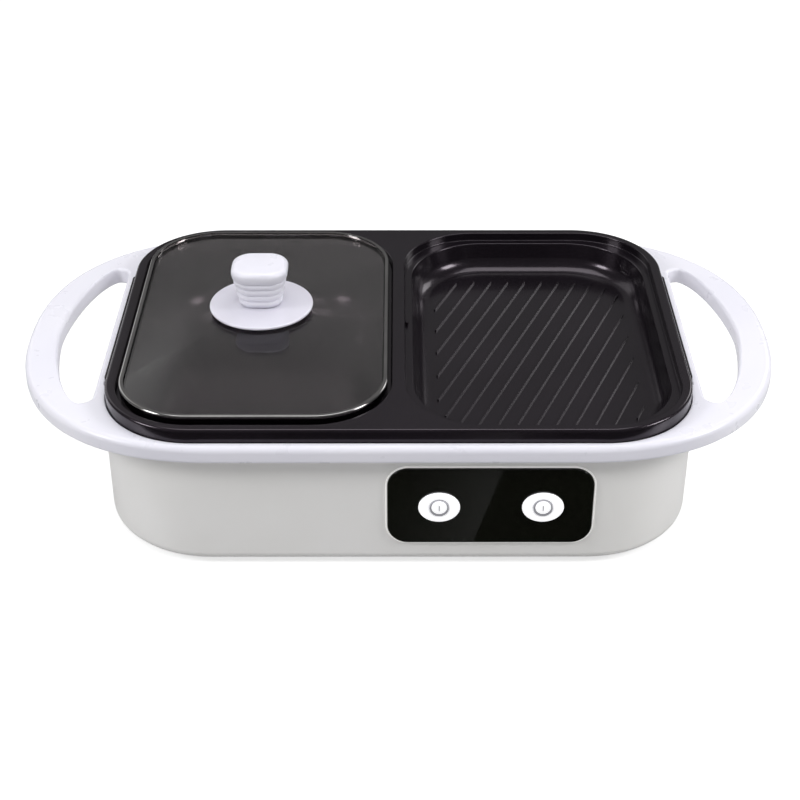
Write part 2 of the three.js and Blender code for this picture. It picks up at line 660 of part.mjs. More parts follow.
// Rubber foot, pushed through the cover and held by its barb
function foot(x, y) {
  const zBarb = Z_COVER_TOP + SEAT_GAP;
  return turned([
    [0, 0],
    [FOOT_RADIUS - FOOT_BARB, 0],
    [FOOT_RADIUS, FOOT_BARB],
    [FOOT_RADIUS, Z_BODY - SEAT_GAP],
    [FOOT_STEM_RADIUS, Z_BODY - SEAT_GAP],
    [FOOT_STEM_RADIUS, zBarb],
    [FOOT_STEM_RADIUS + FOOT_BARB, zBarb],
    [FOOT_STEM_RADIUS - FOOT_BARB, zBarb + FOOT_BARB_HEIGHT],
    [0, zBarb + FOOT_BARB_HEIGHT],
  ], x, y);
}

// Handle frame

// A quarter of an ellipse-like curve, made fuller or leaner by its power
function fullCurve(angle, power) {
  const share = 2 / power;
  return [Math.abs(Math.cos(angle)) ** share, Math.abs(Math.sin(angle)) ** share];
}

function frameOutline(inset) {
  const startX = FRAME_HALF_WIDTH - FRAME_END_REACH;
  const halfDepth = FRAME_HALF_DEPTH - inset;
  const points = [];
  for (const side of [1, -1]) {
    for (let k = -DECK_STEPS; k <= DECK_STEPS; k++) {
      const [u, v] = fullCurve(k / DECK_STEPS * Math.PI / 2, FRAME_END_POWER);
      points.push(new THREE.Vector2(side * (startX + u * (FRAME_END_REACH - inset)),
        side * Math.sign(k) * v * halfDepth));
    }
  }
  return points;
}

function handOutline(side, grow) {
  const inner = HAND_INNER - grow;
  const corner = HAND_CORNER + grow;
  const middle = HAND_INNER + HAND_CORNER;
  const reach = HAND_WIDTH - HAND_CORNER + grow;
  const half = HAND_HALF_LENGTH + grow;
  const points = [];
  for (let k = 0; k <= HAND_STEPS; k++) {
    const angle = Math.sin((k / HAND_STEPS - 0.5) * Math.PI) * Math.PI / 2;
    const [u, v] = fullCurve(angle, HAND_POWER);
    points.push(new THREE.Vector2(side * (middle + reach * u), Math.sign(angle) * half * v));
  }
  for (let k = 1; k <= CORNER_STEPS; k++) {
    const angle = k / CORNER_STEPS * Math.PI / 2;
    points.push(new THREE.Vector2(
      side * (middle - corner * Math.sin(angle)), half - corner * (1 - Math.cos(angle))));
  }
  for (let k = CORNER_STEPS; k >= 1; k--) {
    const angle = k / CORNER_STEPS * Math.PI / 2;
    points.push(new THREE.Vector2(
      side * (middle - corner * Math.sin(angle)), -half + corner * (1 - Math.cos(angle))));
  }
  return side > 0 ? points : points.reverse();
}

// Cutter of a hand opening, flared at both faces so that the edges come out rounded
function handCutter(side) {
  const profile = [[HAND_EDGE, Z_FRAME_UNDER - OVERRUN]];
  for (let k = 0; k <= EDGE_STEPS; k++) {
    const angle = k / EDGE_STEPS * Math.PI / 2;
    profile.push([HAND_EDGE * (1 - Math.sin(angle)), Z_FRAME_UNDER + HAND_EDGE * (1 - Math.cos(angle))]);
  }
  for (let k = 0; k <= EDGE_STEPS; k++) {
    const angle = k / EDGE_STEPS * Math.PI / 2;
    profile.push([HAND_EDGE * (1 - Math.cos(angle)), Z_FRAME - HAND_EDGE * (1 - Math.sin(angle))]);
  }
  profile.push([HAND_EDGE, Z_FRAME + OVERRUN]);
  return loft(profile.map(([grow, z]) => ({ points: handOutline(side, grow), z })));
}

// Pan shape in plan: the rounded plate and the straight pads on both ends, lower than the plate by a drop
function panPrism(low, high, grow, edge = 0, drop = 0) {
  const plate = roundedPlate(PAN_HALF_WIDTH + grow, PAN_HALF_DEPTH + grow, PAN_CORNER + grow,
    low, high, { highRadius: edge });
  const pads = roundedPlate(PAN_END + grow, END_PAD_HALF_LENGTH + grow, END_PAD_CORNER + grow,
    low, high - drop, { highRadius: edge });
  return plate.add(pads);
}

function handleFrame() {
  const plate = softPlate(frameOutline, Z_FRAME_UNDER, Z_FRAME, FRAME_BOTTOM_EDGE, FRAME_TOP_EDGE);
  const keyOuter = KEY_INSET;
  const keyInner = keyOuter + FRAME_KEY_WALL;
  const key = cut(
    softPlate(() => bodyOutline(keyOuter), Z_FRAME_UNDER - FRAME_KEY, Z_FRAME_UNDER + EMBED),
    [softPlate(() => bodyOutline(keyInner), Z_FRAME_UNDER - FRAME_KEY - OVERRUN,
      Z_FRAME_UNDER + EMBED + OVERRUN)],
  );
  const seat = panPrism(Z_SKIRT - SEAT_GAP, Z_FRAME + OVERRUN, SLIP);
  const mouth = roundedPlate(PAN_HALF_WIDTH - FRAME_LEDGE, PAN_HALF_DEPTH - FRAME_LEDGE,
    PAN_CORNER - FRAME_LEDGE, Z_FRAME_UNDER - FRAME_KEY - OVERRUN, Z_FRAME + OVERRUN);
  return cut(plate.add(key), [seat, mouth, handCutter(-1), handCutter(1)]);
}

// Pan plate

function seatOutline(centreX, grow = 0) {
  return roundedOutline(WELL_HALF_WIDTH + grow, WELL_HALF_DEPTH + grow, SEAT_CORNER + grow, centreX);
}

// Well below the lid seat
function wellOutline(centreX, inset) {
  const margin = SEAT_LEDGE + inset;
  return roundedOutline(WELL_HALF_WIDTH - margin, WELL_HALF_DEPTH - margin, WELL_CORNER - inset, centreX);
}

// Inside of a well below its lid seat: walls that narrow, then a rounded floor edge
function wellRings(centreX, zFloor, floorEdge, grow, zTop) {
  const rings = [];
  const steps = 2 * EDGE_STEPS;
  const floorInset = WELL_DRAFT - grow;
  const radius = floorEdge + grow;
  const low = zFloor - grow;
  for (let k = 0; k <= steps; k++) {
    const angle = k / steps * Math.PI / 2;
    const inset = floorInset + radius * (1 - Math.sin(angle));
    rings.push({ points: wellOutline(centreX, inset), z: low + radius * (1 - Math.cos(angle)) });
  }
  rings.push({ points: wellOutline(centreX, -grow), z: zTop });
  return rings;
}

// Ridge with round ends, narrower at its top
function rib(from, to) {
  const along = to.clone().sub(from);
  const length = along.length();
  const heading = along.angle();
  const ringAt = (width, z) => {
    const points = [];
    for (const end of [0, 1]) {
      const middle = end === 0 ? from : to;
      for (let k = 0; k <= RIB_END_STEPS; k++) {
        const angle = heading + (end === 0 ? 1 : -1) * Math.PI / 2 + k / RIB_END_STEPS * Math.PI;
        const across = new THREE.Vector2(Math.cos(angle), Math.sin(angle));
        points.push(across.multiplyScalar(width / 2).add(middle));
      }
    }
    return { points, z };
  };
  if (length < RIB_SHORTEST) return null;
  const zTop = Z_GRILL_FLOOR + RIB_HEIGHT;
  return loft([
    ringAt(RIB_WIDTH, Z_GRILL_FLOOR - EMBED),
    ringAt(RIB_WIDTH, zTop - RIB_TOP_WIDTH / 2),
    ringAt(RIB_TOP_WIDTH, zTop),
  ]);
}

// Where the line of a rib enters and leaves the rounded field
function ribEnds(offset) {
  const lean = Math.tan(THREE.MathUtils.degToRad(RIB_ANGLE_DEG));
  const inside = (y) => {
    const x = Math.abs(offset + lean * y);
    const dx = x - (RIB_FIELD_HALF_WIDTH - RIB_FIELD_CORNER);
    const dy = Math.abs(y) - (RIB_FIELD_HALF_DEPTH - RIB_FIELD_CORNER);
    if (x > RIB_FIELD_HALF_WIDTH || Math.abs(y) > RIB_FIELD_HALF_DEPTH) return false;
    return dx <= 0 || dy <= 0 || Math.hypot(dx, dy) <= RIB_FIELD_CORNER;
  };
  const places = [];
  for (let k = 0; k <= RIB_SCAN_STEPS; k++) {
    const y = (2 * k / RIB_SCAN_STEPS - 1) * RIB_FIELD_HALF_DEPTH;
    if (inside(y)) places.push(new THREE.Vector2(WELL_CENTRE + offset + lean * y, y));
  }
  return places.length > 1 ? [places[0], places[places.length - 1]] : null;
}

function grillRibs() {
  const reach = RIB_FIELD_HALF_WIDTH + RIB_FIELD_HALF_DEPTH;
  const count = Math.floor(reach / RIB_PITCH);
  const ribs = [];
  for (let k = -count; k <= count; k++) {
    const ends = ribEnds(k * RIB_PITCH + RIB_SHIFT);
    const ridge = ends && rib(ends[0], ends[1]);
    if (ridge) ribs.push(ridge);
  }
  return ribs;
}

const wells = {
  pot: { x: -WELL_CENTRE, zFloor: Z_POT_FLOOR, edge: POT_FLOOR_EDGE },
  grill: { x: WELL_CENTRE, zFloor: Z_GRILL_FLOOR, edge: GRILL_FLOOR_EDGE },
};

for (const well of Object.values(wells)) {
  well.under = well.zFloor - PAN_WALL;                             // underside of the casting
  well.zHeater = well.under - SEAT_GAP - HEATER_RADIUS;            // middle of the heater tube
  well.zShield = well.zHeater - HEATER_RADIUS - SEAT_GAP;          // upper face of the shield
  well.zShieldUnder = well.zShield - SHIELD_THICKNESS;
}

const shieldScrewPlaces = [['front', -SHIELD_SCREW_SPREAD], ['rear', SHIELD_SCREW_SPREAD]];

function panPlate() {
  const slab = panPrism(Z_SKIRT, Z_RIM, 0, PAN_RIM_EDGE, END_PAD_DROP);
  const under = roundedPlate(PAN_HALF_WIDTH - PAN_WALL, PAN_HALF_DEPTH - PAN_WALL, PAN_CORNER - PAN_WALL,
    Z_SKIRT - OVERRUN, Z_RIM - PAN_FLANGE);
  const bowls = [];
  const cavities = [];
  const bosses = [];
  const bores = [];
  for (const { x, zFloor, edge, under: zUnder, zShield } of Object.values(wells)) {
    const zWall = Z_SEAT - PAN_WALL;
    bowls.push(loft(wellRings(x, zFloor, edge, PAN_WALL, zWall)));
    bowls.push(softPlate(() => seatOutline(x, PAN_WALL), zWall, Z_RIM - PAN_FLANGE + EMBED));
    cavities.push(loft(wellRings(x, zFloor, edge, 0, Z_SEAT + OVERRUN)));
    cavities.push(softPlate(() => seatOutline(x), Z_SEAT, Z_RIM + OVERRUN));
    for (const [, y] of shieldScrewPlaces) {
      bosses.push(cylinder(SHIELD_BOSS_RADIUS, zShield + SEAT_GAP, zUnder + EMBED, x, y));
      bores.push(screwHole(SHIELD_SCREW_RADIUS + THREAD_SLIP, zShield - OVERRUN,
        zShield + SHIELD_SCREW_GRIP + OVERRUN, x, y));
    }
  }
  for (const [, y] of panScrewPlaces) {
    bosses.push(cylinder(PAN_BOSS_RADIUS, Z_PAN_BOSS, Z_RIM - PAN_FLANGE + EMBED, 0, y));
    bores.push(screwHole(PAN_SCREW_RADIUS + THREAD_SLIP, Z_PAN_BOSS - OVERRUN,
      Z_PAN_BOSS + PAN_SCREW_GRIP + OVERRUN, 0, y));
  }
  const casting = cut(join([cut(slab, [under]), ...bowls, ...bosses]), [...cavities, ...bores]);
  return join([casting, ...grillRibs()]);
}

function panScrew(y) {
  const zTop = Z_PAN_BOSS + PAN_SCREW_GRIP;
  const zHead = Z_PAN_BOSS - SEAT_GAP - PILLAR_TOP - SEAT_GAP;
  return turned([
    [0, zHead - PAN_SCREW_HEAD_HEIGHT],
    [PAN_SCREW_HEAD, zHead - PAN_SCREW_HEAD_HEIGHT],
    [PAN_SCREW_HEAD, zHead],
    [PAN_SCREW_RADIUS, zHead],
    [PAN_SCREW_RADIUS, zTop],
    [0, zTop],
  ], 0, y, SCREW_SEGMENTS);
}

// Heaters, shields, thermostats and fuses

function heatingElement(well) {
  const z = well.zHeater;
  const zLow = z - HEATER_LEG;
  const at = (x, y, height) => new THREE.Vector3(well.x + x, y, height);
  const corners = [
    at(-HEATER_END_SPREAD, HEATER_HALF_DEPTH, zLow),
    at(-HEATER_END_SPREAD, HEATER_HALF_DEPTH, z),
    at(-HEATER_HALF_WIDTH, HEATER_HALF_DEPTH, z),
    at(-HEATER_HALF_WIDTH, -HEATER_HALF_DEPTH, z),
    at(HEATER_HALF_WIDTH, -HEATER_HALF_DEPTH, z),
    at(HEATER_HALF_WIDTH, HEATER_HALF_DEPTH, z),
    at(HEATER_END_SPREAD, HEATER_HALF_DEPTH, z),
    at(HEATER_END_SPREAD, HEATER_HALF_DEPTH, zLow),
  ];
  const bend = Math.min(HEATER_BEND, HEATER_HALF_WIDTH - HEATER_END_SPREAD - HEATER_END_BEND);
  const bends = [HEATER_END_BEND, bend, bend, bend, bend, HEATER_END_BEND];
  const loop = tube(roundedLine(corners, bends), HEATER_RADIUS, HEATER_SIDES);
  const pins = [-1, 1].map((side) => screwHole(HEATER_PIN_RADIUS, zLow - HEATER_PIN_LENGTH, zLow + EMBED,
    well.x + side * HEATER_END_SPREAD, HEATER_HALF_DEPTH));
  return join([loop, ...pins]);
}

function heatShield(well) {
  const tray = roundedPlate(SHIELD_HALF_WIDTH, SHIELD_HALF_DEPTH, SHIELD_CORNER,
    well.zShieldUnder, well.zShield + SHIELD_LIP, { x: well.x });
  const inside = roundedPlate(SHIELD_HALF_WIDTH - SHIELD_THICKNESS, SHIELD_HALF_DEPTH - SHIELD_THICKNESS,
    SHIELD_CORNER - SHIELD_THICKNESS, well.zShield, well.zShield + SHIELD_LIP + OVERRUN, { x: well.x });
  const through = (radius, x, y) =>
    cylinder(radius, well.zShieldUnder - OVERRUN, well.zShield + OVERRUN, well.x + x, y);
  const legHole = HEATER_RADIUS + HEATER_LEG_SPACE;
  return cut(tray, [
    inside,
    through(THERMOSTAT_RADIUS + SLIP, 0, 0),
    through(legHole, -HEATER_END_SPREAD, HEATER_HALF_DEPTH),
    through(legHole, HEATER_END_SPREAD, HEATER_HALF_DEPTH),
    ...shieldScrewPlaces.map(([, y]) => through(SHIELD_SCREW_RADIUS + SCREW_SLIP, 0, y)),
  ]);
}

function shieldScrew(well, y) {
  const zHead = well.zShieldUnder - SEAT_GAP;
  const zTop = well.zShield + SEAT_GAP + SHIELD_SCREW_GRIP;
  return turned([
    [0, zHead - SHIELD_SCREW_HEAD_HEIGHT],
    [SHIELD_SCREW_HEAD, zHead - SHIELD_SCREW_HEAD_HEIGHT],
    [SHIELD_SCREW_HEAD, zHead],
    [SHIELD_SCREW_RADIUS, zHead],
    [SHIELD_SCREW_RADIUS, zTop],
    [0, zTop],
  ], well.x, y, SCREW_SEGMENTS);
}

// Disc thermostat: its cap touches the casting through the shield, its flange bears on the shield
function thermostat(well) {
  const zFlange = well.zShieldUnder - SEAT_GAP;
  const zFlangeLow = zFlange - THERMOSTAT_FLANGE_HEIGHT;
  return turned([
    [0, zFlangeLow - THERMOSTAT_DROP],
    [THERMOSTAT_RADIUS, zFlangeLow - THERMOSTAT_DROP],
    [THERMOSTAT_RADIUS, zFlangeLow],
    [THERMOSTAT_FLANGE, zFlangeLow],
    [THERMOSTAT_FLANGE, zFlange],
    [THERMOSTAT_RADIUS, zFlange],
    [THERMOSTAT_RADIUS, well.under - SEAT_GAP],
    [0, well.under - SEAT_GAP],
  ], well.x, 0);
}

function thermalFuse(well) {
  const zTab = well.zShieldUnder - SEAT_GAP;
  const x = well.x + (HEATER_HALF_WIDTH + SHIELD_BOSS_RADIUS) / 2;
  const tab = block(FUSE_TAB_WIDTH / 2, FUSE_LENGTH / 2, zTab - FUSE_TAB_THICKNESS, zTab, x, 0);
  const sleeve = cylinder(FUSE_RADIUS, -FUSE_LENGTH / 2, FUSE_LENGTH / 2)
    .rotate([90, 0, 0]).translate([x, 0, zTab - FUSE_RADIUS]);
  return tab.add(sleeve);
}

// Control panel

function controlFascia() {
  const plate = roundedPlate(PANEL_HALF_WIDTH, PANEL_HALF_HEIGHT, PANEL_CORNER, Y_PANEL, Y_PANEL_BACK,
    { lowRadius: PANEL_EDGE });
  const holes = buttonPlaces.map(([, x]) =>
    cylinder(COLLAR_RADIUS + SLIP, Y_PANEL - OVERRUN, Y_PANEL_BACK + OVERRUN, x - PANEL_CENTRE_X, 0));
  return facingBack(cut(plate, holes), PANEL_CENTRE_X, 0, Z_PANEL);
}

// Oval bezel with the collar that guides the button
function buttonBezel(x) {
  const yFlange = Y_PANEL - SEAT_GAP;
  const ovalAt = (inset) => {
    const points = [];
    for (let k = 0; k < WIDE_SEGMENTS; k++) {
      const angle = k / WIDE_SEGMENTS * 2 * Math.PI;
      points.push(new THREE.Vector2((BEZEL_HALF_WIDTH - inset) * Math.cos(angle),
        (BEZEL_HALF_HEIGHT - inset) * Math.sin(angle)));
    }
    return points;
  };
  const flange = softPlate(ovalAt, yFlange - BEZEL_THICKNESS, yFlange, BEZEL_EDGE, 0);
  const collar = cylinder(COLLAR_RADIUS, yFlange - EMBED, Y_COLLAR_END);
  const bore = cylinder(BUTTON_RADIUS + SLIP, yFlange - BEZEL_THICKNESS - OVERRUN, Y_COLLAR_END + OVERRUN);
  return facingBack(cut(flange.add(collar), [bore]), x, 0, Z_PANEL);
}

function powerButton(x) {
  const yEdge = Y_PANEL - SEAT_GAP - BEZEL_THICKNESS - BUTTON_PROUD;
  const flangeRadius = BUTTON_RADIUS + BUTTON_FLANGE;
  const yStem = Y_SWITCH + SWITCH_REACH;
  const profile = [];
  for (let k = 0; k <= BUTTON_DOME_STEPS; k++) {
    const angle = k / BUTTON_DOME_STEPS * Math.PI / 2;
    profile.push([BUTTON_RADIUS * Math.sin(angle), yEdge - BUTTON_DOME * Math.cos(angle)]);
  }
  profile.push(
    [BUTTON_RADIUS, Y_FLANGE],
    [flangeRadius, Y_FLANGE],
    [flangeRadius, Y_FLANGE_BACK],
    [STEM_RADIUS, Y_FLANGE_BACK],
    [STEM_RADIUS, yStem],
    [0, yStem],
  );
  return facingBack(turned(profile), x, 0, Z_PANEL);
}

function buttonSpring(x) {
  const climb = SPRING_LENGTH - 2 * SPRING_WIRE;
  const steps = SPRING_TURNS * SPRING_STEPS;
  const points = [];
  for (let k = 0; k <= steps; k++) {
    const angle = k / SPRING_STEPS * 2 * Math.PI;
    points.push(new THREE.Vector3(SPRING_RADIUS * Math.cos(angle), SPRING_RADIUS * Math.sin(angle),
      Y_SPRING + SPRING_WIRE + climb * k / steps));
  }
  return facingBack(tube(points, SPRING_WIRE, SPRING_SIDES), x, 0, Z_PANEL);
}

function pushSwitch(x) {
  const body = block(SWITCH_HALF, SWITCH_HALF, Y_SWITCH, Y_SWITCH + SWITCH_LENGTH);
  const bore = cylinder(STEM_RADIUS + SLIP, Y_SWITCH - OVERRUN,
    Y_SWITCH + SWITCH_REACH + BUTTON_TRAVEL + SEAT_GAP);
  return facingBack(cut(body, [bore]), x, 0, Z_PANEL);
}

function controlBoard() {
  const plate = roundedPlate(BOARD_HALF_WIDTH, BOARD_HALF_HEIGHT, COLLAR_WALL, Y_BOARD, Y_BOARD_BACK);
  const holes = boardPostPlaces.map(([, x]) => screwHole(BOARD_SCREW_RADIUS + SCREW_SLIP,
    Y_BOARD - OVERRUN, Y_BOARD_BACK + OVERRUN, x - PANEL_CENTRE_X, 0));
  return facingBack(cut(plate, holes), PANEL_CENTRE_X, 0, Z_PANEL);
}

function boardScrew(x) {
  const yHead = Y_BOARD_BACK + SEAT_GAP;
  const yTip = Y_BOARD - SEAT_GAP - BOARD_SCREW_GRIP;
  return facingBack(turned([
    [0, yTip],
    [BOARD_SCREW_RADIUS, yTip],
    [BOARD_SCREW_RADIUS, yHead],
    [BOARD_SCREW_HEAD, yHead],
    [BOARD_SCREW_HEAD, yHead + BOARD_SCREW_HEAD_HEIGHT],
    [0, yHead + BOARD_SCREW_HEAD_HEIGHT],
  ], 0, 0, SCREW_SEGMENTS), x, 0, Z_PANEL);
}

// Power inlet

function powerInlet() {
  const outer = { w: INLET_HALF_WIDTH + INLET_WALL, h: INLET_HALF_HEIGHT + INLET_WALL };
  const yFace = BODY_HALF_DEPTH + SEAT_GAP + INLET_FLANGE_THICKNESS;
  const yBack = yFace - INLET_DEPTH;
  const sleeve = roundedPlate(outer.w, outer.h, INLET_CORNER + INLET_WALL, yBack, yFace);
  const flange = roundedPlate(outer.w + INLET_FLANGE, outer.h + INLET_FLANGE,
    INLET_CORNER + INLET_WALL + INLET_FLANGE, BODY_HALF_DEPTH + SEAT_GAP, yFace);
  const recess = roundedPlate(INLET_HALF_WIDTH, INLET_HALF_HEIGHT, INLET_CORNER,
    yFace - INLET_RECESS, yFace + OVERRUN);
  const slots = inletPinPlaces.map(([, x, z]) => block(INLET_PIN_HALF_WIDTH + THREAD_SLIP,
    INLET_PIN_HALF_HEIGHT + THREAD_SLIP, yBack - OVERRUN, yFace - INLET_RECESS + OVERRUN, x, z));
  return facingBack(cut(sleeve.add(flange), [recess, ...slots]), INLET_X, 0, Z_INLET);
}

const inletPinPlaces = [
  ['live', -INLET_PIN_SPREAD, INLET_EARTH_RISE / 2],
  ['neutral', INLET_PIN_SPREAD, INLET_EARTH_RISE / 2],
  ['earth', 0, -INLET_EARTH_RISE],
];

function inletPin(x, z) {
  const yFloor = BODY_HALF_DEPTH + SEAT_GAP + INLET_FLANGE_THICKNESS - INLET_RECESS;
  const yBack = yFloor - (INLET_DEPTH - INLET_RECESS);
  const blade = block(INLET_PIN_HALF_WIDTH, INLET_PIN_HALF_HEIGHT, yBack - INLET_TAB_LENGTH,
    yFloor + INLET_PIN_LENGTH, x, z);
  return facingBack(blade, INLET_X, 0, Z_INLET);
}

function terminalBlock() {
  const zLow = Z_COVER_TOP + SEAT_GAP;
  const zTop = zLow + TERMINAL_HEIGHT;
  const body = block(TERMINAL_HALF_LENGTH, TERMINAL_HALF_DEPTH, zLow, zTop, TERMINAL_X, TERMINAL_Y);
  const poleStep = 2 * TERMINAL_HALF_LENGTH / TERMINAL_POLES;
  const holes = [];
  for (let k = 0; k < TERMINAL_POLES; k++) {
    const x = TERMINAL_X + (k - (TERMINAL_POLES - 1) / 2) * poleStep;
    holes.push(screwHole(TERMINAL_HOLE, zTop - TERMINAL_HOLE_DEPTH, zTop + OVERRUN, x, TERMINAL_Y));
  }
  return cut(body, holes);
}

// Lid

const LID_HALF_WIDTH = WELL_HALF_WIDTH - LID_CLEARANCE_X;
const LID_HALF_DEPTH = WELL_HALF_DEPTH - LID_CLEARANCE_Y;
const LID_X = -WELL_CENTRE;
const Z_LID = Z_SEAT + SEAT_GAP;
const Z_LID_TOP = Z_LID + LID_RIM_HEIGHT;
const Z_GLASS_EDGE = Z_LID_TOP - LID_RIM_WALL - GLASS_SLIP;       // upper face of the glass at the rim
const Z_GLASS_UNDER = Z_GLASS_EDGE - GLASS_THICKNESS;
const Z_GLASS_MIDDLE = Z_GLASS_EDGE + domeRise(1 / GLASS_RINGS);   // flat middle of the dome
const Z_GLASS_MIDDLE_UNDER = Z_GLASS_MIDDLE - GLASS_THICKNESS;

function lidPlate(inset, low, high, options = {}) {
  return roundedPlate(LID_HALF_WIDTH - inset, LID_HALF_DEPTH - inset, LID_CORNER - inset, low, high,
    { x: LID_X, ...options });
}

// Rolled steel rim: an upright band, a bright lip over the glass and a shelf under it
function lidRim() {
  const band = lidPlate(0, Z_LID, Z_LID_TOP, { highRadius: LID_RIM_WALL });
  const zShelf = Z_GLASS_UNDER - GLASS_SLIP;
  const top = lidPlate(LID_RIM_TOP, zShelf - OVERRUN, Z_LID_TOP + OVERRUN);
  const channel = lidPlate(LID_RIM_WALL, zShelf, Z_GLASS_EDGE + GLASS_SLIP);
  const shelf = lidPlate(LID_RIM_SHELF, Z_LID - OVERRUN, zShelf + OVERRUN);
  const below = lidPlate(LID_RIM_WALL, Z_LID - OVERRUN, zShelf - LID_RIM_WALL);
  return cut(band, [top, channel, shelf, below]);
}

// Height of the dome over the rim, from a share of the way out to it
function domeRise(share) {
  return GLASS_DOME * (1 - share ** DOME_POWER);
}

// Domed glass with a flat edge in the channel of the rim and a hole for the knob screw
function lidGlass() {
  const edge = LID_RIM_WALL + GLASS_SLIP;
  const widest = roundedOutline(LID_HALF_WIDTH - LID_RIM_TOP, LID_HALF_DEPTH - LID_RIM_TOP,
    LID_CORNER - LID_RIM_TOP);
  const domeRings = (zBase) => {
    const rings = [];
    for (let k = 0; k < GLASS_RINGS; k++) {
      const share = 1 - k / GLASS_RINGS;
      const points = widest.map(({ x, y }) => new THREE.Vector2(LID_X + x * share, y * share));
      rings.push({ points, z: zBase + domeRise(share) });
    }
    return rings;
  };
  const edgePoints = roundedOutline(LID_HALF_WIDTH - edge, LID_HALF_DEPTH - edge, LID_CORNER - edge, LID_X);
  const dome = loft([
    { points: edgePoints, z: Z_GLASS_UNDER },
    { points: edgePoints, z: Z_GLASS_EDGE },
    ...domeRings(Z_GLASS_EDGE),
  ]);
  const lower = domeRings(Z_GLASS_UNDER);
  const hollow = loft([{ points: lower[0].points, z: Z_GLASS_UNDER - OVERRUN }, ...lower]);
  const hole = cylinder(KNOB_SCREW_RADIUS + SLIP, Z_GLASS_UNDER - OVERRUN, Z_GLASS_MIDDLE + OVERRUN, LID_X);
  return cut(dome, [hollow, hole]);
}

// Top of the glass under a point at a distance from the middle, along the width
function glassTopAt(distance) {
  return Z_GLASS_EDGE + domeRise(Math.min(distance / (LID_HALF_WIDTH - LID_RIM_TOP), 1));
}

const Z_GUARD_EDGE = glassTopAt(GUARD_RADIUS) + GUARD_FLOAT;
const Z_GUARD_TOP = Z_GUARD_EDGE + GUARD_THICKNESS + GUARD_RISE;
const HUB_RADIUS = GRIP_FOOT_HALF - GUARD_THICKNESS;

// Saucer-shaped guard with a hub that stands on the glass
function knobGuard() {
  const zFoot = Z_GLASS_MIDDLE + SEAT_GAP;
  const underRise = GUARD_RISE * GUARD_UNDER_SHARE;
  const zEdgeTop = Z_GUARD_EDGE + GUARD_THICKNESS;
  const profile = [
    [KNOB_SCREW_RADIUS + SLIP, zFoot],
    [HUB_RADIUS, zFoot],
    [HUB_RADIUS, Z_GUARD_EDGE + underRise],
    [(HUB_RADIUS + GUARD_RADIUS) / 2, Z_GUARD_EDGE + underRise / 2],
    [GUARD_RADIUS - GUARD_THICKNESS, Z_GUARD_EDGE],
    [GUARD_RADIUS, Z_GUARD_EDGE + GUARD_EDGE],
    [GUARD_RADIUS, zEdgeTop - GUARD_EDGE],
    [GUARD_RADIUS - GUARD_EDGE, zEdgeTop],
    [(GRIP_FOOT_HALF + GUARD_RADIUS) / 2, zEdgeTop + GUARD_RISE * GUARD_FLARE_SHARE],
    [GRIP_FOOT_HALF, Z_GUARD_TOP],
    [KNOB_SCREW_RADIUS + SLIP, Z_GUARD_TOP],
    [KNOB_SCREW_RADIUS + SLIP, zFoot],
  ];
  return turned(profile, LID_X, 0, WIDE_SEGMENTS);
}

// Grip: a stepped neck that widens upwards into a soft square head
function knobGrip() {
  const zFoot = Z_GUARD_TOP + SEAT_GAP;
  const zTop = zFoot + GRIP_HEIGHT;
  const neck = GRIP_HEIGHT - GRIP_HEAD;
  const step = neck / GRIP_STEPS;
  const widen = GRIP_NECK_HALF - GRIP_FOOT_HALF;
  const shape = GRIP_HALF_DEPTH / GRIP_HALF_WIDTH;
  const outlineOf = (half) =>
    roundedOutline(half, half * shape, Math.min(GRIP_CORNER + (GRIP_HALF_WIDTH - half), half * shape), LID_X);
  const rings = [];
  for (let k = 0; k < GRIP_STEPS; k++) {
    const half = GRIP_FOOT_HALF + widen * k / (GRIP_STEPS - 1);
    const low = zFoot + k * step;
    const groove = half - GRIP_STEP_GROOVE;
    rings.push({ points: outlineOf(k === 0 ? half : groove), z: low });
    rings.push({ points: outlineOf(half), z: low + GRIP_STEP_GROOVE });
    rings.push({ points: outlineOf(half), z: low + step - GRIP_STEP_GROOVE });
  }
  const zHead = zFoot + neck;
  for (const [inset, z] of edgeProfile(zHead + GRIP_STEP_GROOVE, zTop, GRIP_EDGE, GRIP_EDGE)) {
    rings.push({ points: outlineOf(GRIP_HALF_WIDTH - inset), z });
  }
  const bore = cylinder(KNOB_SCREW_RADIUS + THREAD_SLIP, zFoot - OVERRUN, zFoot + KNOB_SCREW_GRIP + OVERRUN,
    LID_X, 0);
  return cut(loft(rings), [bore]);
}

function knobWasher() {
  const zTop = Z_GLASS_MIDDLE_UNDER - SEAT_GAP;
  return cut(cylinder(WASHER_RADIUS, zTop - WASHER_THICKNESS, zTop, LID_X, 0),
    [cylinder(KNOB_SCREW_RADIUS + SLIP, zTop - WASHER_THICKNESS - OVERRUN, zTop + OVERRUN, LID_X, 0)]);
}

function knobScrew() {
  const zHead = Z_GLASS_MIDDLE_UNDER - SEAT_GAP - WASHER_THICKNESS - SEAT_GAP;
  const zTip = Z_GUARD_TOP + SEAT_GAP + KNOB_SCREW_GRIP;
  return turned([
    [0, zHead - KNOB_SCREW_HEAD_HEIGHT],
    [KNOB_SCREW_HEAD - KNOB_SCREW_CHAMFER, zHead - KNOB_SCREW_HEAD_HEIGHT],
    [KNOB_SCREW_HEAD, zHead - KNOB_SCREW_HEAD_HEIGHT + KNOB_SCREW_CHAMFER],
    [KNOB_SCREW_HEAD, zHead],
    [KNOB_SCREW_RADIUS, zHead],
    [KNOB_SCREW_RADIUS, zTip],
    [0, zTip],
  ], LID_X, 0);
}

// Assembly

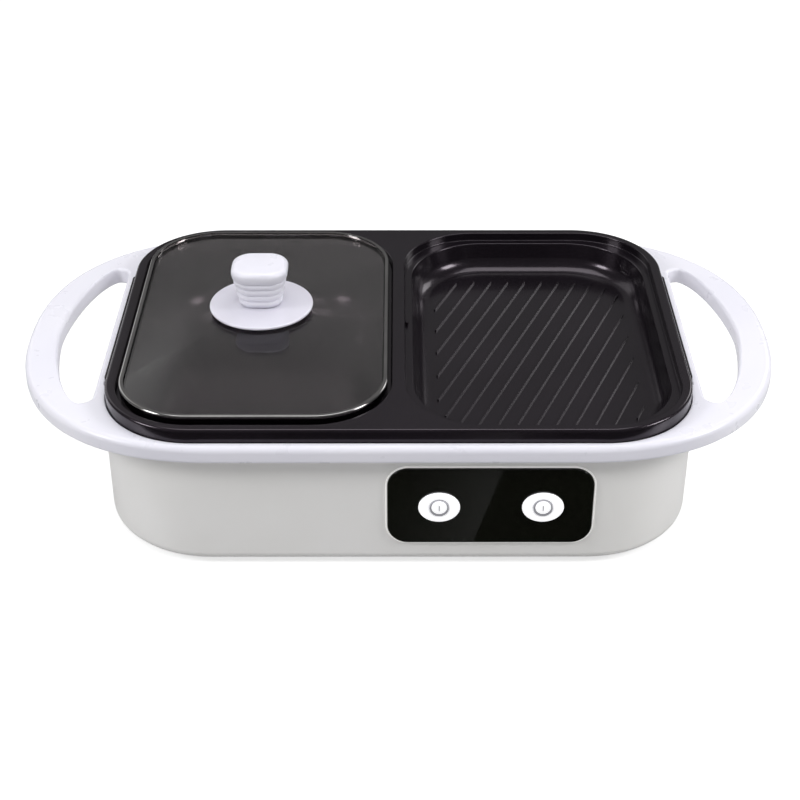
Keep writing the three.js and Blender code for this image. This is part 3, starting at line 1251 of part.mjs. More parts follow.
addPart('lower_housing', lowerHousing(), 'housingPlastic');
addPart('base_cover', baseCover(), 'blackPlastic');
for (const [place, x, y] of cornerPlaces(BASE_SCREW_INSET)) {
  addPart(`base_screw_${place}`, baseScrew(x, y), 'steel');
}
for (const [place, x, y] of footPlaces) addPart(`foot_${place}`, foot(x, y), 'rubber');
addPart('handle_frame', handleFrame(), 'whitePlastic');
addPart('pan_plate', panPlate(), 'nonStick');
for (const [place, y] of panScrewPlaces) addPart(`pan_screw_${place}`, panScrew(y), 'steel');
for (const [side, well] of Object.entries(wells)) {
  addPart(`${side}_heating_element`, heatingElement(well), 'heater');
  addPart(`${side}_heat_shield`, heatShield(well), 'aluminised');
  addPart(`${side}_thermostat`, thermostat(well), 'blackPlastic');
  addPart(`${side}_thermal_fuse`, thermalFuse(well), 'ceramic');
  for (const [place, y] of shieldScrewPlaces) {
    addPart(`${side}_shield_screw_${place}`, shieldScrew(well, y), 'steel');
  }
}
addPart('control_fascia', controlFascia(), 'blackGlass');
for (const [side, x] of buttonPlaces) {
  addPart(`${side}_button_bezel`, buttonBezel(x), 'whitePlastic');
  addPart(`${side}_button`, powerButton(x), 'buttonWhite');
  addPart(`${side}_button_spring`, buttonSpring(x), 'steel');
  addPart(`${side}_push_switch`, pushSwitch(x), 'blackPlastic');
}
addPart('control_board', controlBoard(), 'board');
for (const [place, x] of boardPostPlaces) addPart(`board_screw_${place}`, boardScrew(x), 'steel');
addPart('power_inlet', powerInlet(), 'blackPlastic');
for (const [pole, x, z] of inletPinPlaces) addPart(`inlet_pin_${pole}`, inletPin(x, z), 'brass');
addPart('terminal_block', terminalBlock(), 'ceramic');
addPart('lid_rim', lidRim(), 'steel');
addPart('lid_glass', lidGlass(), 'smokedGlass');
addPart('knob_guard', knobGuard(), 'whitePlastic');
addPart('knob_grip', knobGrip(), 'whitePlastic');
addPart('knob_screw', knobScrew(), 'steel');
addPart('knob_washer', knobWasher(), 'silicone');

export default object;
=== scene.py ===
"""Electric hot pot with a grill side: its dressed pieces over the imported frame, the studio and the camera."""

import json
import logging
import math
from contextlib import contextmanager
from dataclasses import dataclass, field
from enum import Enum
from typing import Callable, Iterator, Sequence

import bmesh
import bpy
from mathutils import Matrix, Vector


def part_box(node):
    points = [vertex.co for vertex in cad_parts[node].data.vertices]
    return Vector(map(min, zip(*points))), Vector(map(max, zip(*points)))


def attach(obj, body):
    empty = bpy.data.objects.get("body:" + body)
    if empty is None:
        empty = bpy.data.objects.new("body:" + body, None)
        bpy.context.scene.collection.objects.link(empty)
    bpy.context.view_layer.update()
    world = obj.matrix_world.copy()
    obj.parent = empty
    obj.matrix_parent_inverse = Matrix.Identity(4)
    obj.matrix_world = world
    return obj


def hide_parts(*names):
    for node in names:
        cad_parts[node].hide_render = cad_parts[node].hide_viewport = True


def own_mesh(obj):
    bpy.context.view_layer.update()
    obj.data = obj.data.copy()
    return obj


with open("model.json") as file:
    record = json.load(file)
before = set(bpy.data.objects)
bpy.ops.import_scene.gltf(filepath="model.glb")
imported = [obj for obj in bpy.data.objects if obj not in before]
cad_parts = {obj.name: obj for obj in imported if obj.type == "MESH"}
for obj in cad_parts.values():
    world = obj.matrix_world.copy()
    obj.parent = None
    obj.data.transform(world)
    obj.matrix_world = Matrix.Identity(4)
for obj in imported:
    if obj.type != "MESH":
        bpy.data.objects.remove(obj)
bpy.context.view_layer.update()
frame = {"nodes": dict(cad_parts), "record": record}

LOG = logging.getLogger("hot_pot")

# Lengths are in metres
NEAR = 1e-5  # places closer than this are the same
MERGED = 2e-6  # points of a mesh closer than this become one
STEP = 1e-6  # height of a ring that only changes the radius
OVERRUN = 0.002  # how far a cutter runs past the face that it opens
WIDE_OVERRUN = 0.003  # the same where the edge of the face is rounded
LEVEL = 0.9  # share of a normal along +Z from which a face counts as level
SHARP = 0.2  # angle between two faces, in radians, from which their edge counts as a rim
FLARE_STEPS = 4  # facets of the rounded edge of an opening
NOISE_SPAN = (0.3, 0.7)  # values that a noise pattern mostly lies between
BLEND_SPAN = (0.35, 0.65)  # values of a pattern between which two colours blend
ORIGIN = (0.0, 0.0, 0.0)

Pair = tuple[float, float]
Triple = tuple[float, float, float]
Tone = tuple[int, int, int]
Socket = bpy.types.NodeSocket


class Body(Enum):
    """The bodies that the pieces ride on."""

    COOKER = "cooker"
    LID = "lid"
    POT_BUTTON = "pot_button"
    GRILL_BUTTON = "grill_button"


class Item(Enum):
    """Elements of a mesh: the operator's mode that selects them and their name in the mesh."""

    FACES = ("FACE", "faces")
    EDGES = ("EDGE", "edges")
    POINTS = ("VERT", "verts")


class Facing(Enum):
    """Which way a stack of rings grows: its direction and the turn that brings +Z there."""

    UP = ((0.0, 0.0, 1.0), (0.0, 0.0, 0.0))
    FRONT = ((0.0, -1.0, 0.0), (math.pi / 2, 0.0, 0.0))
    RIGHT = ((1.0, 0.0, 0.0), (0.0, math.pi / 2, 0.0))
    LEFT = ((-1.0, 0.0, 0.0), (0.0, -math.pi / 2, 0.0))

    @property
    def way(self) -> Vector:
        """Unit vector of the direction."""
        return Vector(self.value[0])

    @property
    def turn(self) -> Triple:
        """Euler angles of the turn."""
        return self.value[1]

    @property
    def axis(self) -> int:
        """Index of the axis that the direction runs along."""
        return max(range(3), key=lambda k: abs(self.value[0][k]))


# Bench work


def shares(steps: int, first: int = 1, last: int | None = None) -> Iterator[float]:
    """Walks from 0 to 1 in even steps.

    Args:
        steps: Steps of the whole way.
        first: The first step that is wanted.
        last: The last one, or None for the end of the way.

    Yields:
        The share of the way at each step.
    """
    for k in range(first, (steps if last is None else last) + 1):
        yield k / steps


def quarter(steps: int, first: int = 1, last: int | None = None) -> Iterator[Pair]:
    """Walks a quarter circle in the same steps, and yields sine and cosine."""
    for share in shares(steps, first, last):
        yield math.sin(share * math.pi / 2), math.cos(share * math.pi / 2)


@dataclass
class Blank:
    """One workpiece on the bench, shaped by edit-mode operators and finished with modifiers.

    Attributes:
        obj: The Blender object that is worked on.
    """

    obj: bpy.types.Object

    @staticmethod
    def clear_bench() -> None:
        """Leaves edit mode and lets go of everything."""
        if bpy.context.object and bpy.context.object.mode != "OBJECT":
            bpy.ops.object.mode_set(mode="OBJECT")
        bpy.ops.object.select_all(action="DESELECT")

    def take(self) -> None:
        """Clears the bench and takes up this piece alone."""
        self.clear_bench()
        self.obj.select_set(True)
        bpy.context.view_layer.objects.active = self.obj

    @classmethod
    def _fresh(cls, name: str) -> "Blank":
        """Names the primitive just added and keeps its place, turn and scale in its mesh."""
        blank = cls(bpy.context.object)
        blank.obj.name = name
        bpy.ops.object.transform_apply(location=True, rotation=True, scale=True)
        return blank

    @classmethod
    def box(cls, name: str, low: Sequence[float], high: Sequence[float]) -> "Blank":
        """Starts from a cube primitive of a given size and place.

        Args:
            name: Name of the piece.
            low: Lowest corner.
            high: Highest corner.

        Returns:
            The new workpiece.
        """
        cls.clear_bench()
        low, high = Vector(low), Vector(high)
        bpy.ops.mesh.primitive_cube_add(size=1.0, location=(low + high) / 2)
        bpy.context.object.scale = high - low
        return cls._fresh(name)

    @classmethod
    def turned(
        cls, name: str, centre: Sequence[float], profile: Sequence[Pair], sides: int = 64,
        facing: Facing = Facing.UP, shape: Pair = (1.0, 1.0),
    ) -> "Blank":
        """Turns a profile: a cone primitive for its first step, then extrude and resize for each other.

        Args:
            name: Name of the piece.
            centre: Point on the axis where the heights start.
            profile: Radius and height of each ring.
            sides: Facets round the axis.
            facing: Direction of the axis.
            shape: Stretch of the round outline across the axis, for an oval.

        Returns:
            The new workpiece.
        """
        cls.clear_bench()
        (r0, h0), (r1, h1) = profile[:2]
        middle = Vector(centre) + facing.way * (h0 + h1) / 2
        bpy.ops.mesh.primitive_cone_add(
            vertices=sides, radius1=r0, radius2=r1, depth=h1 - h0, location=middle, rotation=facing.turn
        )
        blank = cls._fresh(name)
        end = Vector(centre) + facing.way * h1
        with blank.editing():
            blank.pick(Item.FACES, lambda f: abs((f.calc_center_median() - end).dot(facing.way)) < NEAR)
            blank.climb([(r, r, h) for r, h in profile[1:]], centre, facing)
            if shape != (1.0, 1.0):
                bpy.ops.mesh.select_all(action="SELECT")
                blank.resize(*shape, centre, facing)
        return blank

    @contextmanager
    def editing(self) -> Iterator[None]:
        """Edit mode on this piece alone, for the length of a with block."""
        self.take()
        bpy.ops.object.mode_set(mode="EDIT")
        bpy.ops.mesh.select_all(action="DESELECT")
        yield
        bpy.ops.object.mode_set(mode="OBJECT")
        self.obj.select_set(False)

    def pick(self, item: Item, test: Callable[..., bool]) -> None:
        """Selects the elements that pass a test, in edit mode.

        Args:
            item: Which elements of the mesh are tested.
            test: Says whether an element is taken.
        """
        mode, items = item.value
        bpy.ops.mesh.select_mode(type=mode)
        bpy.ops.mesh.select_all(action="DESELECT")
        mesh = bmesh.from_edit_mesh(self.obj.data)
        taken = [element for element in getattr(mesh, items) if test(element)]
        for element in taken:
            element.select_set(True)
        mesh.select_flush_mode()
        bmesh.update_edit_mesh(self.obj.data)
        if not taken:
            LOG.warning("%s: no %s picked", self.obj.name, items)

    def pick_end(self, height: float, sign: float = 1.0) -> None:
        """Selects the level faces at a height, in edit mode.

        Args:
            height: Where they lie.
            sign: 1 for those that look up, -1 for those that look down.
        """
        self.pick(Item.FACES,
                  lambda f: abs(f.calc_center_median().z - height) < NEAR and f.normal.z * sign > LEVEL)

    def resize(self, share_u: float, share_v: float, centre: Sequence[float], facing: Facing) -> None:
        """Resizes the selection across an axis.

        Args:
            share_u: Scale along the first axis across.
            share_v: Scale along the second axis across.
            centre: Point that stays in place.
            facing: The axis, along which nothing changes.
        """
        value = [share_u, share_v]
        value.insert(facing.axis, 1.0)
        bpy.ops.transform.resize(value=value, center_override=tuple(centre))

    def climb(self, rings: Sequence[Triple], centre: Sequence[float], facing: Facing = Facing.UP) -> None:
        """Extrudes the selected end face through rings of given half sizes and heights.

        Args:
            rings: Half sizes across and height of each ring; the first is where the face is now.
            centre: Point on the axis where the heights start.
            facing: Direction of the heights.
        """
        half_u, half_v, height = rings[0]
        for next_u, next_v, next_height in rings[1:]:
            move = facing.way * (next_height - height)
            bpy.ops.mesh.extrude_region_move(TRANSFORM_OT_translate={"value": tuple(move)})
            self.resize(next_u / half_u, next_v / half_v, centre, facing)
            half_u, half_v, height = next_u, next_v, next_height

    def _bevel(self, test: Callable[[bmesh.types.BMEdge], bool], **settings: float) -> "Blank":
        """Bevels the edges that pass a test.

        Args:
            test: Says whether an edge is taken.
            settings: Offset, segments and profile of the operator.

        Returns:
            This workpiece.
        """
        with self.editing():
            self.pick(Item.EDGES, test)
            bpy.ops.mesh.bevel(affect="EDGES", **settings)
        return self

    def round_uprights(
        self, corner: float, segments: int = 16, profile: float = 0.5, axis: int = 2,
        where: Callable[[Vector], bool] = lambda middle: True,
    ) -> "Blank":
        """Rounds the edges that run along an axis.

        Args:
            corner: Radius of the rounding.
            segments: Facets of each rounding.
            profile: Fullness of the rounding; 0.5 is a circle.
            axis: The axis that the edges run along.
            where: Says by its middle whether an edge is taken.

        Returns:
            This workpiece.
        """

        def runs_along(edge: bmesh.types.BMEdge) -> bool:
            """True for a wanted edge along the axis."""
            a, b = (v.co for v in edge.verts)
            across = [abs(a[k] - b[k]) for k in range(3) if k != axis]
            return max(across) < NEAR and where((a + b) / 2)

        return self._bevel(runs_along, offset=corner, segments=segments, profile=profile)

    def round_rim(self, height: float, radius: float, segments: int, axis: int = 2) -> "Blank":
        """Rounds the rim of the flat face at a height along an axis.

        Args:
            height: Where the face lies.
            radius: Radius of the rounding.
            segments: Facets of the rounding.
            axis: The axis that the height is measured along.

        Returns:
            This workpiece.
        """

        def on_rim(edge: bmesh.types.BMEdge) -> bool:
            """True for a sharp edge at the height."""
            level = all(abs(v.co[axis] - height) < NEAR for v in edge.verts)
            return level and edge.calc_face_angle(0.0) > SHARP

        return self._bevel(on_rim, offset=radius, segments=segments, profile=0.5)

    def flare(
        self, half: Pair, centre: Sequence[float], height: float, radius: float,
        over: float = OVERRUN, upwards: bool = True,
    ) -> "Blank":
        """Spreads the end of a cutter, so that the opening it cuts gets a rounded edge.

        Args:
            half: Half sizes of the cutter across.
            centre: Middle of the opening.
            height: Height of the face that is opened; the cutter's end lies a radius short of it.
            radius: Radius of the rounded edge.
            over: How far the cutter runs past the face.
            upwards: Whether the cutter's end looks up.

        Returns:
            This workpiece.
        """
        sign = 1.0 if upwards else -1.0
        end = height - sign * radius
        rings = [(*half, end)]
        for sine, cosine in quarter(FLARE_STEPS):
            grow = radius * (1 - cosine)
            rings.append((half[0] + grow, half[1] + grow, height - sign * radius * (1 - sine)))
        rings.append((half[0] + radius, half[1] + radius, height + sign * over))
        with self.editing():
            self.pick_end(end, sign)
            self.climb(rings, centre)
        return self

    def _use(self, kind: str, **settings: object) -> None:
        """Adds a modifier and applies it.

        Args:
            kind: Type of the modifier.
            settings: Its settings.
        """
        self.take()
        modifier = self.obj.modifiers.new(kind.title(), kind)
        for key, value in settings.items():
            setattr(modifier, key, value)
        bpy.ops.object.modifier_apply(modifier=modifier.name)

    def _with(self, others: Sequence["Blank"], operation: str) -> "Blank":
        """Cuts or fuses with other workpieces, one after the other, and uses them up."""
        for other in others:
            self._use("BOOLEAN", operation=operation, object=other.obj, solver="EXACT")
            bpy.data.objects.remove(other.obj)
        return self

    def cut(self, *cutters: "Blank") -> "Blank":
        """Cuts other workpieces out of this one."""
        return self._with(cutters, "DIFFERENCE")

    def fuse(self, *others: "Blank") -> "Blank":
        """Fuses other workpieces to this one."""
        return self._with(others, "UNION")

    def copy(self, name: str) -> "Blank":
        """A copy with its own mesh."""
        twin = self.obj.copy()
        twin.data = self.obj.data.copy()
        twin.name = name
        bpy.context.scene.collection.objects.link(twin)
        return Blank(twin)

    def place(self, move: Sequence[float], turn_z: float) -> "Blank":
        """Turns the piece about +Z and moves it, and keeps that in its mesh."""
        self.obj.rotation_euler = (0.0, 0.0, turn_z)
        self.obj.location = Vector(move)
        self.take()
        bpy.ops.object.transform_apply(location=True, rotation=True, scale=True)
        return self

    def add_shells(self, others: Sequence["Blank"]) -> "Blank":
        """Joins the meshes of other workpieces to this one as they are."""
        self.take()
        for blank in others:
            blank.obj.select_set(True)
        bpy.ops.object.join()
        return self

    def smooth(self, angle: float = 34.0, merge: float = MERGED) -> "Blank":
        """Merges doubles, turns the faces outwards and smooths all but the sharp edges.

        Args:
            angle: Edges sharper than this, in degrees, stay sharp.
            merge: Points closer than this become one.

        Returns:
            This workpiece.
        """
        with self.editing():
            bpy.ops.mesh.select_all(action="SELECT")
            bpy.ops.mesh.remove_doubles(threshold=merge)
            bpy.ops.mesh.normals_make_consistent(inside=False)
        self.take()
        bpy.ops.object.shade_smooth_by_angle(angle=math.radians(angle))
        self._use("WEIGHTED_NORMAL", keep_sharp=True, weight=60)
        return self


def slab(
    name: str, half: Pair, corner: float, low: float, high: float,
    centre: Pair = (0.0, 0.0), segments: int = 24, profile: float = 0.5,
) -> Blank:
    """A plate with rounded corners, lying flat.

    Args:
        name: Name of the piece.
        half: Half width and half depth.
        corner: Radius of the corners.
        low: Height of the underside.
        high: Height of the top.
        centre: Middle in plan.
        segments: Facets of each corner.
        profile: Fullness of the corners.

    Returns:
        The plate.
    """
    (x, y), (u, v) = centre, half
    blank = Blank.box(name, (x - u, y - v, low), (x + u, y + v, high))
    return blank.round_uprights(corner, segments, profile)


def upright(name: str, centre: Pair, half: Pair, corner: float, span: Pair, segments: int = 16) -> Blank:
    """A plate with rounded corners, standing in the front or back wall.

    Args:
        name: Name of the piece.
        centre: Its middle along the width and in height.
        half: Half width and half height.
        corner: Radius of the corners.
        span: Where its front and its back lie.
        segments: Facets of each corner.

    Returns:
        The plate.
    """
    (x, z), (u, v), (front, back) = centre, half, span
    blank = Blank.box(name, (x - u, front, z - v), (x + u, back, z + v))
    return blank.round_uprights(corner, segments, axis=1)


def inset(half: Pair, by: float) -> Pair:
    """Half sizes drawn in by a length."""
    return half[0] - by, half[1] - by


# Finishes


def colour(red: int, green: int, blue: int) -> tuple[float, float, float, float]:
    """A screen colour as the linear colour that a shader takes.

    Args:
        red: Red, 0 to 255.
        green: Green, 0 to 255.
        blue: Blue, 0 to 255.

    Returns:
        Linear red, green, blue and an alpha of 1.
    """
    linear = [
        v / 12.92 if v <= 0.04045 else ((v + 0.055) / 1.055) ** 2.4
        for v in (channel / 255 for channel in (red, green, blue))
    ]
    return (*linear, 1.0)


WHITE = colour(255, 255, 255)
BLACK = colour(0, 0, 0)


class Wiring:
    """A node tree under way.

    Attributes:
        nodes: Its nodes.
        links: Its links.
    """

    def __init__(self, tree: bpy.types.NodeTree) -> None:
        """Takes over a node tree.

        Args:
            tree: The tree of a material or of the world.
        """
        self.nodes = tree.nodes
        self.links = tree.links

    def plug(self, node: bpy.types.Node, sockets: dict[str | int, object]) -> None:
        """Links sources to the inputs of a node and sets constants on them.

        Args:
            node: The node.
            sockets: A source or a constant for each input.
        """
        for key, value in sockets.items():
            if isinstance(value, Socket):
                self.links.new(value, node.inputs[key])
            else:
                node.inputs[key].default_value = value

    def add(self, kind: str, sockets: dict[str | int, object], **settings: object) -> bpy.types.Node:
        """Adds a node.

        Args:
            kind: Type of the node, without the prefix that all of them share.
            sockets: A source or a constant for each input that is used.
            settings: Settings of the node.

        Returns:
            The node.
        """
        node = self.nodes.new(f"ShaderNode{kind}")
        for key, value in settings.items():
            setattr(node, key, value)
        self.plug(node, sockets)
        return node

    def calc(self, operation: str, *values: Socket | float) -> Socket:
        """The result of a math node on sources and constants."""
        return self.add("Math", dict(enumerate(values)), operation=operation).outputs[0]

    def spread(
        self, source: Socket, low: float, high: float, span: Pair = NOISE_SPAN, soft: bool = False
    ) -> Socket:
        """Maps a span of a pattern on a range of values.

        Args:
            source: The pattern.
            low: Value at the start of the span.
            high: Value at its end.
            span: Values of the pattern where the range starts and ends.
            soft: Whether the range eases in and out.

        Returns:
            The mapped value.
        """
        ends = dict(zip(("From Min", "From Max", "To Min", "To Max"), (*span, low, high)))
        style = "SMOOTHSTEP" if soft else "LINEAR"
        return self.add("MapRange", {"Value": source, **ends}, interpolation_type=style).outputs["Result"]

    def ramp(self, source: Socket, *stops: tuple[float, Sequence[float]]) -> Socket:
        """Runs a pattern through a colour ramp.

        Args:
            source: The pattern.
            stops: Place and colour of each stop, in order.

        Returns:
            The colour.
        """
        node = self.add("ValToRGB", {"Fac": source})
        elements = node.color_ramp.elements
        for k, (position, shade) in enumerate(stops):
            element = elements[k] if k < len(elements) else elements.new(position)
            element.position = position
            element.color = shade
        return node.outputs["Color"]


class Recipe(Wiring):
    """A node material under way: the shader and the patterns that feed it.

    Attributes:
        material: The material.
        shader: Its principled shader.
        place: Object coordinates.
    """

    def __init__(self, name: str) -> None:
        """Starts a material.

        Args:
            name: Name of the material.
        """
        self.material = bpy.data.materials.new(name)
        self.material.use_nodes = True
        super().__init__(self.material.node_tree)
        self.shader = self.nodes["Principled BSDF"]
        self.place = self.add("TexCoord", {}).outputs["Object"]

    def feed(self, **sockets: object) -> None:
        """Feeds sources and constants to the shader, by sockets named with underscores for spaces."""
        self.plug(self.shader, {key.replace("_", " "): value for key, value in sockets.items()})

    def surface(self, source: Socket) -> None:
        """Makes a shader the surface of the material."""
        self.plug(self.nodes["Material Output"], {"Surface": source})

    def see_through(self, share: Socket, solid: Socket, tint: Sequence[float] = WHITE) -> None:
        """Makes the surface a mixture of a shader and clear glass.

        Args:
            share: Share of the clear glass.
            solid: The shader.
            tint: Colour of the clear glass.
        """
        clear = self.add("BsdfTransparent", {"Color": tint}).outputs["BSDF"]
        self.surface(self.add("MixShader", {0: share, 1: solid, 2: clear}).outputs["Shader"])

    def noise(
        self, scale: float, detail: float = 3.0, rough: float = 0.5, at: Socket | None = None
    ) -> Socket:
        """A noise pattern.

        Args:
            scale: Cells per metre.
            detail: Octaves.
            rough: Strength of the finer octaves.
            at: Coordinates, or None for plain object coordinates.

        Returns:
            The value of the noise.
        """
        sockets = {"Scale": scale, "Detail": detail, "Roughness": rough, "Vector": at or self.place}
        return self.add("TexNoise", sockets).outputs["Fac"]

    def blend(self, source: Socket, one: Tone, two: Tone, span: Pair = BLEND_SPAN) -> Socket:
        """Blends two screen colours by a pattern.

        Args:
            source: The pattern.
            one: Colour where it is low.
            two: Colour where it is high.
            span: Values of the pattern where the blend starts and ends.

        Returns:
            The colour.
        """
        return self.ramp(source, (span[0], colour(*one)), (span[1], colour(*two)))

    def bump(self, source: Socket, height: float, strength: float) -> None:
        """Raises the surface by a pattern.

        Args:
            source: The pattern.
            height: Height of the relief.
            strength: How much of it shows.
        """
        node = self.add("Bump", {"Distance": height, "Strength": strength, "Height": source})
        self.feed(Normal=node.outputs["Normal"])


@dataclass(frozen=True)
class Finish:
    """A finish: clouded colour, uneven gloss and a grain, each from a noise of so many cells per metre."""

    name: str
    tone: Tone
    cloud: Tone
    gloss: Pair
    grain: float = 0.0
    relief: float = 0.0
    relief_strength: float = 0.3
    grain_detail: float = 3.0
    cloud_cells: float = 30.0
    cloud_detail: float = 3.0
    gloss_cells: float = 40.0
    gloss_detail: float = 3.0
    index: float = 1.5

    def shade(self, recipe: Recipe) -> Socket:
        """The clouded colour, which a kind of finish may add to.

        Args:
            recipe: The material under way.

        Returns:
            The colour.
        """
        return recipe.blend(recipe.noise(self.cloud_cells, self.cloud_detail), self.tone, self.cloud)

    def mix(self, recipe: Recipe) -> None:
        """Feeds colour, gloss and grain to the shader, which a kind of finish may add to.

        Args:
            recipe: The material under way.
        """
        recipe.feed(
            Base_Color=self.shade(recipe),
            Roughness=recipe.spread(recipe.noise(self.gloss_cells, self.gloss_detail), *self.gloss),
            IOR=self.index,
        )
        if self.relief:
            recipe.bump(recipe.noise(self.grain, self.grain_detail), self.relief, self.relief_strength)

    def make(self) -> bpy.types.Material:
        """Builds the material.

        Returns:
            The material.
        """
        recipe = Recipe(self.name)
        self.mix(recipe)
        return recipe.material


@dataclass(frozen=True)
class MouldedPlastic(Finish):
    """Satin moulded plastic: faint clouding, fine orange-peel and a soft gloss, some of it coated, some with a
    painted glow though it is no lamp.
    """

    grain: float = 320.0
    relief: float = 0.00001
    grain_detail: float = 1.0
    cloud_cells: float = 9.0
    cloud_detail: float = 2.0
    gloss_cells: float = 60.0
    gloss_detail: float = 4.0
    coat: float = 0.0
    coat_gloss: float = 0.12
    # glow: emission strength, a painted glow that brightens a part which is no lamp
    glow: float = 0.0

    def mix(self, recipe: Recipe) -> None:
        """Adds clear coat and the painted glow."""
        super().mix(recipe)
        recipe.feed(Coat_Weight=self.coat, Coat_Roughness=self.coat_gloss,
                    Emission_Color=colour(*self.tone), Emission_Strength=self.glow)


@dataclass(frozen=True)
class NonStickCoating(Finish):
    """Sprayed non-stick coating on a casting: dark ground, fine pale flecks and a pebbled satin skin."""

    tone: Tone = (13, 10, 14)
    cloud: Tone = (44, 38, 45)
    gloss: Pair = (0.19, 0.26)
    grain: float = 1100.0
    relief: float = 0.00002
    relief_strength: float = 0.25
    grain_detail: float = 2.0
    cloud_cells: float = 14.0
    gloss_cells: float = 500.0
    index: float = 1.42
    fleck_cells: float = 2600.0
    fleck_detail: float = 2.0
    fleck_rough: float = 0.7
    fleck_span: Pair = (0.5, 0.8)
    cloud_share: float = 0.12
    mirror_tint: tuple[float, float, float, float] = (1.0, 0.84, 1.0, 1.0)
    coat: float = 0.3
    coat_gloss: float = 0.1

    def shade(self, recipe: Recipe) -> Socket:
        """Lays the clouds over a colour full of flecks."""
        flecks = recipe.noise(self.fleck_cells, self.fleck_detail, self.fleck_rough)
        layers = {
            "Factor": self.cloud_share,
            "A": recipe.blend(flecks, self.tone, self.cloud, self.fleck_span),
            "B": super().shade(recipe),
        }
        return recipe.add("Mix", layers, data_type="RGBA").outputs["Result"]

    def mix(self, recipe: Recipe) -> None:
        """Adds a thin coat and the tint of its mirror."""
        super().mix(recipe)
        recipe.feed(Specular_Tint=self.mirror_tint, Coat_Weight=self.coat, Coat_Roughness=self.coat_gloss)


@dataclass(frozen=True)
class Metal(Finish):
    """Drawn or polished metal: fine lines along one axis, with small changes in tone and gloss."""

    relief: float = 0.00001
    lines: Triple = (40.0, 900.0, 900.0)

    def mix(self, recipe: Recipe) -> None:
        """Feeds clouded colour and drawn lines, which give both gloss and relief."""
        stretched = recipe.add("Mapping", {"Scale": self.lines, "Vector": recipe.place}).outputs["Vector"]
        drawn = recipe.noise(1.0, at=stretched)
        recipe.feed(Base_Color=self.shade(recipe), Roughness=recipe.spread(drawn, *self.gloss), Metallic=1.0)
        recipe.bump(drawn, self.relief, self.relief_strength)


@dataclass(frozen=True)
class SmokedGlass(Finish):
    """Clear, lightly smoked glass that lets the lamps reach what is under it."""

    tone: Tone = (196, 192, 192)
    cloud: Tone = (190, 186, 187)
    gloss: Pair = (0.004, 0.012)
    cloud_cells: float = 12.0
    index: float = 1.45
    mirror: float = 0.8

    def mix(self, recipe: Recipe) -> None:
        """Makes it clear, and lets shadow rays pass with the tint of the glass."""
        super().mix(recipe)
        recipe.feed(Transmission_Weight=1.0, Specular_IOR_Level=self.mirror)
        shadow = recipe.add("LightPath", {}).outputs["Is Shadow Ray"]
        recipe.see_through(shadow, recipe.shader.outputs["BSDF"], colour(*self.tone))


@dataclass(frozen=True)
class PanelGloss(Finish):
    """Glossy black panel with the faintest dust and swirl in its polish."""

    tone: Tone = (13, 14, 9)
    cloud: Tone = (17, 18, 13)
    gloss: Pair = (0.04, 0.08)
    cloud_cells: float = 300.0
    gloss_cells: float = 45.0
    gloss_detail: float = 4.0
    index: float = 1.45


@dataclass(frozen=True)
class Rubber(Finish):
    """Matt rubber with a dry, finely pitted skin."""

    gloss: Pair = (0.7, 0.85)
    grain: float = 1500.0
    relief: float = 0.00006
    relief_strength: float = 0.5
    cloud_cells: float = 120.0
    cloud_detail: float = 4.0
    gloss_cells: float = 300.0


def catalogue() -> dict[str, Finish]:
    """Every finish of the object.

    Returns:
        The finishes by the names of their slots in the record, and some by the name of their look.
    """
    finishes = (
        MouldedPlastic("white_plastic", (238, 237, 245), (233, 232, 242), (0.26, 0.34)),
        MouldedPlastic("housing_plastic", (240, 239, 238), (235, 234, 232), (0.34, 0.42)),
        # Grey for a white button: the tone paints the shade of the cap's rim and of the crescent below its
        # face.
        MouldedPlastic("button_white", (178, 178, 184), (170, 170, 176), (0.12, 0.18), coat=0.5),
        # The cap's face glows though it is no lamp: painted light that makes it brighter.
        MouldedPlastic("cap_face", (250, 250, 251), (246, 246, 248), (0.2, 0.26), glow=0.45),
        # A darker copy of the white plastic for the guard: painted shade on its sides.
        MouldedPlastic("guard_white", (224, 222, 233), (225, 223, 234), (0.14, 0.20), coat=0.5),
        # The panel's pale edging glows faintly: a painted highlight round the panel.
        MouldedPlastic("pale_edge", (250, 249, 246), (246, 245, 242), (0.3, 0.36), glow=0.2),
        # The bezel's ring glows though it is no lamp: painted light that lifts it to white.
        MouldedPlastic("lit_ring", (253, 253, 254), (250, 250, 252), (0.2, 0.26), glow=0.42),
        MouldedPlastic("mark_grey", (196, 196, 200), (190, 190, 194), (0.5, 0.6)),
        MouldedPlastic("black_plastic", (26, 26, 28), (33, 33, 35), (0.5, 0.62), 700.0, 0.00003),
        MouldedPlastic("ceramic", (226, 222, 212), (216, 211, 200), (0.4, 0.6), 600.0, 0.00002),
        MouldedPlastic("board", (40, 88, 56), (34, 76, 48), (0.35, 0.5), 800.0, 0.00002),
        NonStickCoating("non_stick"),
        SmokedGlass("smoked_glass"),
        Metal("steel", (176, 174, 173), (162, 160, 160), (0.08, 0.13)),
        Metal("screw_steel", (178, 178, 182), (160, 160, 166), (0.25, 0.4)),
        Metal("aluminised", (168, 170, 173), (148, 150, 154), (0.35, 0.5)),
        Metal("heater", (86, 88, 92), (68, 69, 74), (0.4, 0.55)),
        Metal("brass", (196, 164, 96), (178, 146, 80), (0.2, 0.3)),
        Rubber("rubber", (40, 40, 41), (56, 56, 57)),
        Rubber("silicone", (206, 206, 203), (190, 190, 187)),
    )
    return {"black_glass": PanelGloss("panel_gloss"), **{finish.name: finish for finish in finishes}}


